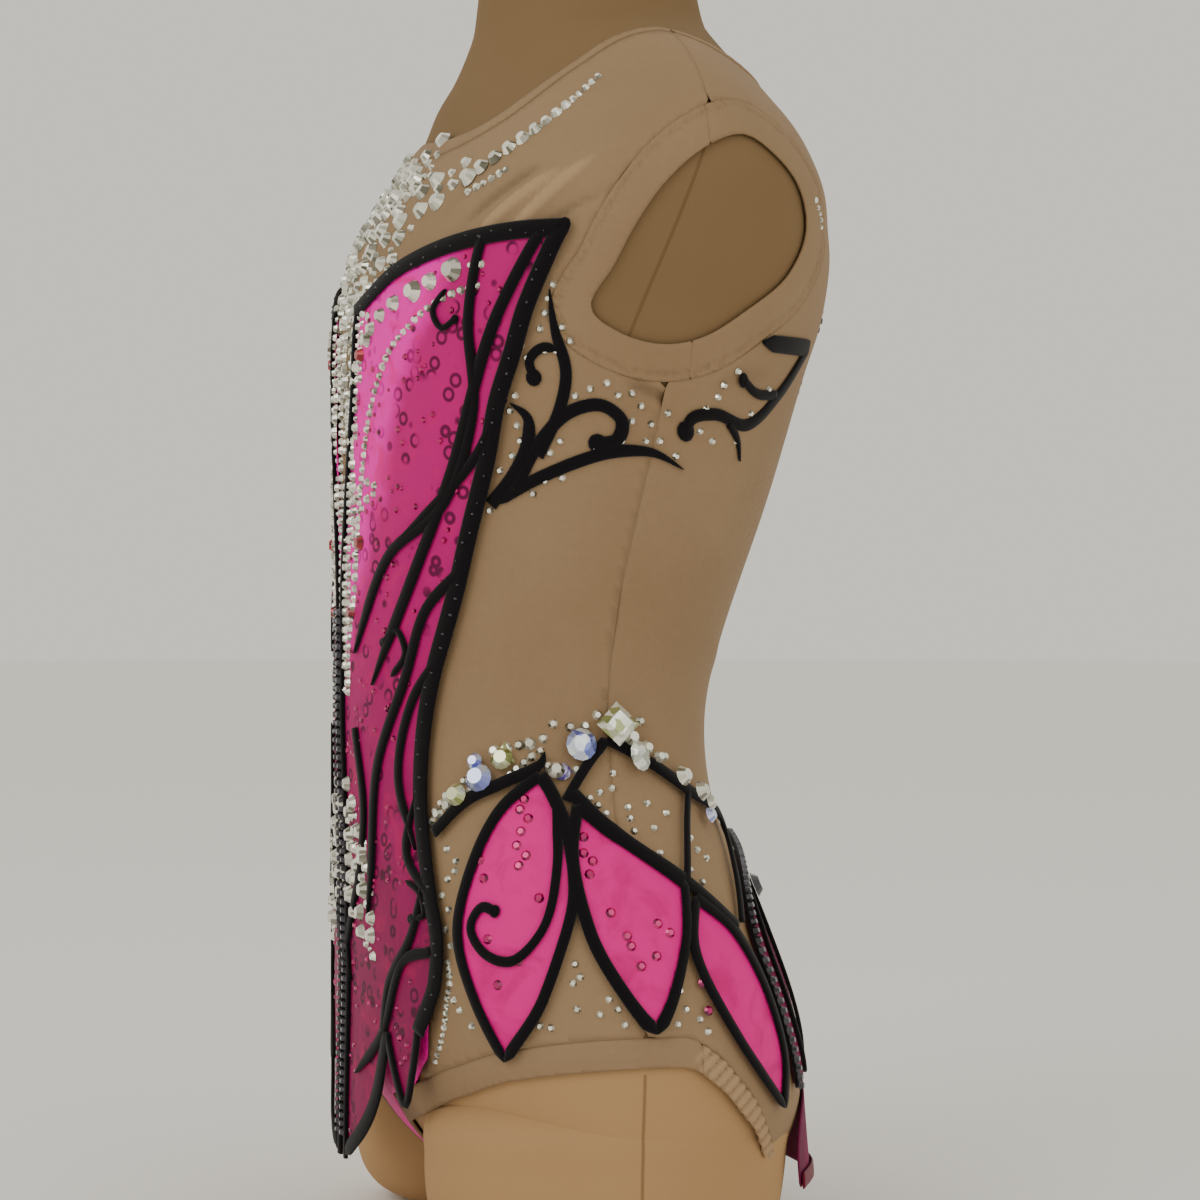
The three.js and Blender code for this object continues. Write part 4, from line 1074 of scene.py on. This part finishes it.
# Each stone: the pale colour of its painted reflection, the tint of its glass, and the size of its facet
# cells.
BIG_STONES = {
    "square": (rgb(236, 238, 226), rgb(150, 156, 96), 260),
    "round": (rgb(228, 236, 238), rgb(96, 110, 190), 240),
    "violet": (rgb(200, 190, 240), rgb(110, 84, 200), 300),
    "oval": (rgb(232, 234, 226), rgb(140, 146, 130), 260),
    "triangle": (rgb(214, 222, 168), rgb(140, 150, 90), 300),
}
for name, (colour, tint, scale) in BIG_STONES.items():
    look = hip_glass(f"stone_{name}", colour, tint, scale)
    for side in ("left", "right"):
        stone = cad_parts[f"hip_stone_{name}_{side}"]
        stone.data.materials.clear()
        stone.data.materials.append(look)

# Crystals: small flat-backed glass stones, glued on one by one in rows and scattered. Places are
# across and down in the side drawing, with 0.47 mm to a step and the aim at 600, 600.
UNIT = 0.47
ON_MESH, ON_PANEL, ON_VELVET = 2.05, 4.05, 6.05
STONE_SIDES = 8
TABLE_SHARE = 0.56
LARGE_STONE, MORE_SIDES = 3.4, 4


def from_sketch(places):
    places = np.asarray(places, float).reshape(-1, 2)
    return np.stack([UNIT * (places[:, 0] - 600), UNIT * (600 - places[:, 1])], axis=1)


def set_stones(bm, flat, radii, seat, centre=0.0, hang=0.0, sides=STONE_SIDES, tall=0.7):
    """Cut stones with a small table, each seated flat on what carries it, on both sides."""
    angle = centre + flat[:, 0] / mean_radius(np.maximum(flat[:, 1], hang))
    if hang:
        seat = seat + panel_ease(flat, angle)
    base = trunk_out(angle, flat[:, 1], seat, hang)
    tips = trunk_out(angle, flat[:, 1], seat + 1, hang)
    for place, tip, radius in zip(base, tips, np.broadcast_to(radii, len(flat))):
        for side in (1, -1):
            mirror = np.array([side, 1, 1])
            out = Vector((tip - place) * mirror).normalized()
            height = radius * tall
            middle = Vector(place * mirror) + out * height / 2
            turn = out.to_track_quat("Z", "Y").to_matrix().to_4x4()
            bmesh.ops.create_cone(
                bm, cap_ends=True, segments=sides + (MORE_SIDES if radius > LARGE_STONE else 0),
                radius1=radius * MM, radius2=radius * TABLE_SHARE * MM, depth=height * MM,
                matrix=Matrix.Translation(middle * MM) @ turn)


def set_sketched(bm, places, radii, seat, **cut):
    """Stones at sketched places. On a panel they hang with it."""
    hang = HANG_HEIGHT if seat == ON_PANEL else 0.0
    set_stones(bm, drawn(from_sketch(places), hang), radii, seat, hang=hang, **cut)


uneven = np.random.default_rng(4)
ROW_STEP = 0.5
ROW_PITCH = 2.1


def row_of(places, first, last):
    """Packed places along a sketched curve, and an uneven radius for each."""
    flat = from_sketch(places)
    path = curve_through(flat, ROW_STEP)
    run = np.arange(len(path)) * ROW_STEP
    at, radii, found = 0.0, [], []
    while at <= run[-1]:
        radius = (first + (last - first) * at / run[-1]) * uneven.uniform(0.82, 1.15)
        found.append(at)
        radii.append(radius)
        at += radius * ROW_PITCH
    picked = np.stack([np.interp(found, run, path[:, k]) for k in (0, 1)], axis=1)
    return picked, np.array(radii)


def put_stones(bm, name, glass, colour, dim_glint_colour, seed):
    """Foil-backed cut glass; painted glint: each facet has its own brightness, tables bright, sides
    uneven.
    """
    made, shader, places = material(glass, colour, 0.12, Metallic=0.55, Coat_Weight=0.6)
    facet = places.node("ShaderNodeAttribute", {"attribute_name": "glint"}, {}, output=2)
    feed(shader, Base_Color=facet.blend(dim_glint_colour, colour))
    mesh = put(bm, name, made, smooth=False).data
    areas = np.array([len(face.vertices) for face in mesh.polygons])
    value = np.random.default_rng(seed).random(len(areas))
    value = np.where(areas > 4, 0.6 + 0.4 * value, value)
    layer = mesh.attributes.new("glint", "FLOAT", "FACE")
    layer.data.foreach_set("value", value.astype(np.float32))


CLEAR_ROWS = [
    # seat, first radius, last radius, places
    (ON_MESH, 1.6, 4.6, [[598, 80], [574, 102], [546, 125], [512, 149], [478, 172]]),
    (ON_MESH, 1.8, 2.2, [[506, 172], [486, 184], [468, 194]]),
    (ON_MESH, 2.8, 2.2, [[353, 352], [350, 385], [349, 420], [350, 455]]),
    (ON_PANEL, 2.2, 2.2, [[484, 264], [470, 266]]),
    (ON_PANEL, 5.0, 3.8, [[456, 270], [436, 281], [418, 292], [402, 302], [388, 314], [376, 330]]),
    (ON_PANEL, 3.6, 2.6, [[372, 340], [364, 360], [360, 384], [357, 410]]),
    (ON_PANEL, 2.0, 1.7, [[480, 285], [455, 294], [430, 310], [410, 330], [395, 350], [382, 385],
                          [374, 420], [368, 470], [364, 520], [362, 560]]),
    (ON_PANEL, 2.0, 1.9, [[352, 340], [348, 400], [347, 470], [347, 540], [348, 620], [350, 690]]),
    (ON_PANEL, 2.8, 2.2, [[345, 360], [341, 430], [340, 500], [340, 580], [342, 640]]),
    (ON_PANEL, 2.0, 2.0, [[362, 498], [368, 486], [377, 481], [380, 492], [372, 500], [366, 512]]),
    (ON_MESH, 2.6, 3.2, [[432, 822], [438, 815], [446, 808], [454, 802]]),
    (ON_MESH, 2.6, 2.0, [[436, 812], [446, 798], [458, 788], [468, 778]]),
    (ON_MESH, 3.0, 2.8, [[494, 752], [506, 750], [518, 747], [532, 745]]),
    (ON_MESH, 2.2, 2.0, [[510, 776], [520, 768], [532, 758], [544, 750]]),
    (ON_VELVET, 3.0, 3.2, [[642, 752], [652, 760], [662, 768]]),
    (ON_MESH, 1.9, 1.6, [[690, 888], [700, 897], [712, 908], [720, 916]]),
    (ON_MESH, 1.5, 1.4, [[815, 200], [819, 214], [821, 232]]),
    (ON_MESH, 1.6, 1.5, [[448, 962], [450, 980], [447, 1003], [445, 1024], [440, 1046], [435, 1062]]),
]
CLEAR_SINGLES = [
    # seat, radius, places
    (ON_VELVET, 4.6, [[676, 780], [693, 795]]),
    (ON_VELVET, 3.8, [[702, 806], [628, 741], [556, 775]]),
    (ON_MESH, 2.3, [
        [553, 725], [585, 727], [543, 740], [597, 716], [640, 722], [570, 728], [664, 758], [684, 786],
        [470, 792], [492, 790], [548, 768], [576, 772]]),
    (ON_MESH, 1.75, [
        [553, 283], [548, 297], [545, 312], [540, 328], [545, 350], [556, 350], [565, 362], [521, 345],
        [527, 357], [570, 340], [562, 326], [515, 395], [510, 410], [517, 425], [520, 440], [512, 455],
        [500, 470], [562, 477], [545, 480], [533, 493], [575, 395], [590, 388], [607, 382], [618, 394],
        [632, 392], [641, 405], [632, 420], [622, 440], [600, 402], [585, 402], [595, 446], [560, 440],
        [550, 452], [540, 448], [530, 462], [668, 412], [651, 423], [660, 440], [646, 440], [676, 455],
        [490, 510], [695, 415], [706, 408], [718, 396], [724, 384], [712, 440], [736, 440], [742, 425],
        [750, 412], [738, 370], [768, 388], [700, 430],
        [613, 775], [628, 809], [647, 805], [666, 815], [630, 820], [654, 830], [634, 833], [660, 855],
        [590, 800], [598, 807], [606, 815], [600, 794], [612, 790], [690, 840], [697, 852], [690, 872],
        [702, 884], [706, 860], [575, 965], [580, 978], [573, 984], [577, 1010], [600, 1015], [618, 1010],
        [625, 1025], [609, 1000], [680, 992], [686, 1010], [678, 1025], [700, 1020], [708, 1032],
        [520, 1022], [540, 1026], [551, 1028], [447, 850], [456, 862], [448, 880], [442, 896],
        [449, 910], [455, 872], [446, 930], [451, 946], [460, 1010], [472, 1026], [454, 1000]]),
]
CLUSTERS = [
    # seat, how many are tried, largest radius, smallest radius, outline
    (ON_MESH, 110, 4.8, 1.3, [[370, 214], [388, 186], [394, 160], [408, 152], [412, 172], [440, 176],
                              [470, 160], [480, 176], [446, 208], [420, 226], [402, 246], [372, 262]]),
    (ON_MESH, 90, 3.8, 1.3, [[364, 258], [402, 246], [388, 284], [368, 340], [344, 346], [346, 310]]),
    (ON_PANEL, 80, 4.4, 1.3, [[344, 766], [358, 790], [374, 850], [372, 884], [352, 900],
                              [338, 940], [328, 930], [334, 860]]),
]


SPOTS_TRIED = 16


def pack_stones(corners, tried, largest, smallest, hang):
    """Stones of mixed sizes inside a sketched outline, each one where it touches no other."""
    outline = drawn(from_sketch(corners), hang)
    low, high = outline.min(axis=0), outline.max(axis=0)
    spots, sizes = np.zeros((0, 2)), np.zeros(0)
    for radius in np.linspace(largest, smallest, tried):
        for place in low + uneven.random((SPOTS_TRIED, 2)) * (high - low):
            apart = np.hypot(*(spots - place).T) > sizes + radius
            if apart.all() and inside_outline(outline, place[None])[0] > radius * 0.4:
                spots = np.concatenate([spots, place[None]])
                sizes = np.append(sizes, radius)
                break
    return spots, sizes


STRANDS = [
    # across, from and to height
    (5.5, 262, 352), (9.5, 250, 380), (14, 320, 424), (19, 366, 430), (24, 392, 432)]
STRAND_PITCH, STRAND_LEAN = 4.1, 0.02
clear = bmesh.new()
for seat, tried, largest, smallest, corners in CLUSTERS:
    hang = HANG_HEIGHT if seat == ON_PANEL else 0.0
    spots, sizes = pack_stones(corners, tried, largest, smallest, hang)
    set_stones(clear, spots, sizes, seat, hang=hang)
for seat, first, last, places in CLEAR_ROWS:
    hang = HANG_HEIGHT if seat == ON_PANEL else 0.0
    picked, radii = row_of(places, first, last)
    set_stones(clear, drawn(picked, hang), radii, seat, hang=hang)
for seat, radius, places in CLEAR_SINGLES:
    set_sketched(clear, places, radius, seat)
for across, low, high in STRANDS:
    rungs = np.arange(low, high, STRAND_PITCH)
    strand = np.stack([across + (rungs - low) * STRAND_LEAN, rungs], axis=1)
    set_stones(clear, strand, uneven.uniform(1.4, 2.6, len(rungs)), ON_PANEL, hang=HANG_HEIGHT)
# Clear glass has no colour of its own: the pale and the dark colour are its painted glint.
put_stones(clear, "crystals_clear", "crystal", rgb(255, 253, 238), rgb(92, 88, 70), 3)

# Coloured stones: pink and garnet glass on the panels and petals, blue and yellow-green glass on the
# belt, all flat-backed and glued on like the clear ones.
PETAL_STONES = [
    [525, 802], [521, 812], [529, 821], [522, 834], [518, 848], [527, 858], [520, 868], [574, 819],
    [573, 834], [583, 840], [583, 856], [592, 864], [589, 877], [520, 962], [500, 985], [486, 880],
    [490, 940], [610, 915], [626, 938], [630, 948], [640, 968], [655, 958], [668, 935], [656, 926],
    [700, 985], [712, 1000], [706, 1012], [726, 1020], [482, 862], [540, 900]]
PANEL_SCATTER = 150
pink = bmesh.new()
set_stones(pink, drawn(from_sketch(PETAL_STONES)), 2.3, ON_PANEL, tall=0.45)
random = np.random.default_rng(11)
low, high = panel_outline.min(axis=0), panel_outline.max(axis=0)
spots = low + random.random((PANEL_SCATTER * 3, 2)) * (high - low)
spots = spots[inside_outline(panel_outline, spots) > 5][:PANEL_SCATTER]
set_stones(pink, spots, 0.9 + 0.8 * random.random(len(spots)), ON_PANEL, hang=HANG_HEIGHT, sides=6)
# Pink glass: its own pink, painted brighter and darker facet by facet as a glint.
put_stones(pink, "stones_pink", "pink_glass", rgb(206, 20, 116), rgb(84, 0, 48), 5)
FEW_STONES = [
    # piece, glass, bright and dim colour of the painted glint, seed, then each size's seat, radius and
    # places
    ("stones_blue", "blue_glass", rgb(226, 234, 255), rgb(70, 84, 190), 8, [
        (ON_VELVET, 6.2, [[482, 781]]), (ON_VELVET, 3.6, [[478, 764], [702, 820]])]),
    ("stones_green", "green_glass", rgb(240, 242, 196), rgb(128, 136, 60), 9, [
        (ON_VELVET, 5.0, [[461, 797], [504, 762]])]),
    ("stones_garnet", "garnet_glass", rgb(190, 16, 40), rgb(60, 0, 10), 6, [
        (ON_PANEL, 3.6, [[338, 365], [339, 545], [341, 612]])]),
]
for name, glass, colour, dim_glint_colour, seed, sizes in FEW_STONES:
    bm = bmesh.new()
    for seat, radius, places in sizes:
        set_sketched(bm, places, radius, seat)
    put_stones(bm, name, glass, colour, dim_glint_colour, seed)

# Black beads: rows down the front edges of the panels and the edges of the spine and hip pieces, small
# dark stones along the velvet borders, and one large oval at the back of each hip.
BEAD = {"sides": 7, "tall": 0.9}
BEADS_LOW, BEADS_HIGH = 46, 290
beads = bmesh.new()
row = curve_through(inner_edge, 3.9)
row = row[(row[:, 1] < BEADS_HIGH) & (row[:, 1] > BEADS_LOW)] + np.array([1.4, 0])
set_stones(beads, row, 1.9, TRIM_OUT, hang=HANG_HEIGHT, **BEAD)
for edge in (outer_edge, top_edge):
    glints = edge[2:-2:2]
    glints = glints + uneven.normal(0, 1.3, glints.shape)
    set_stones(beads, glints, uneven.uniform(0.5, 1.0, len(glints)), TRIM_OUT, hang=HANG_HEIGHT, sides=5)
set_stones(beads, curve_through(HIP_BACK, 4.4), 2.2, TRIM_OUT + BACK_DROP, math.pi, **BEAD)
spine_edge = curve_through(SPINE, 4.6)
for off in (-2.5, -9):
    set_stones(beads, spine_edge + np.array([off, 0]), 2.6, BACK_OUT, math.pi, **BEAD)
set_sketched(beads, [[746, 890]], 6.0, ON_VELVET, tall=0.5)
# Black glass: its lighter facets are a painted glint.
put_stones(beads, "beads_black", "black_glass", rgb(70, 66, 76), rgb(8, 6, 10), 7)
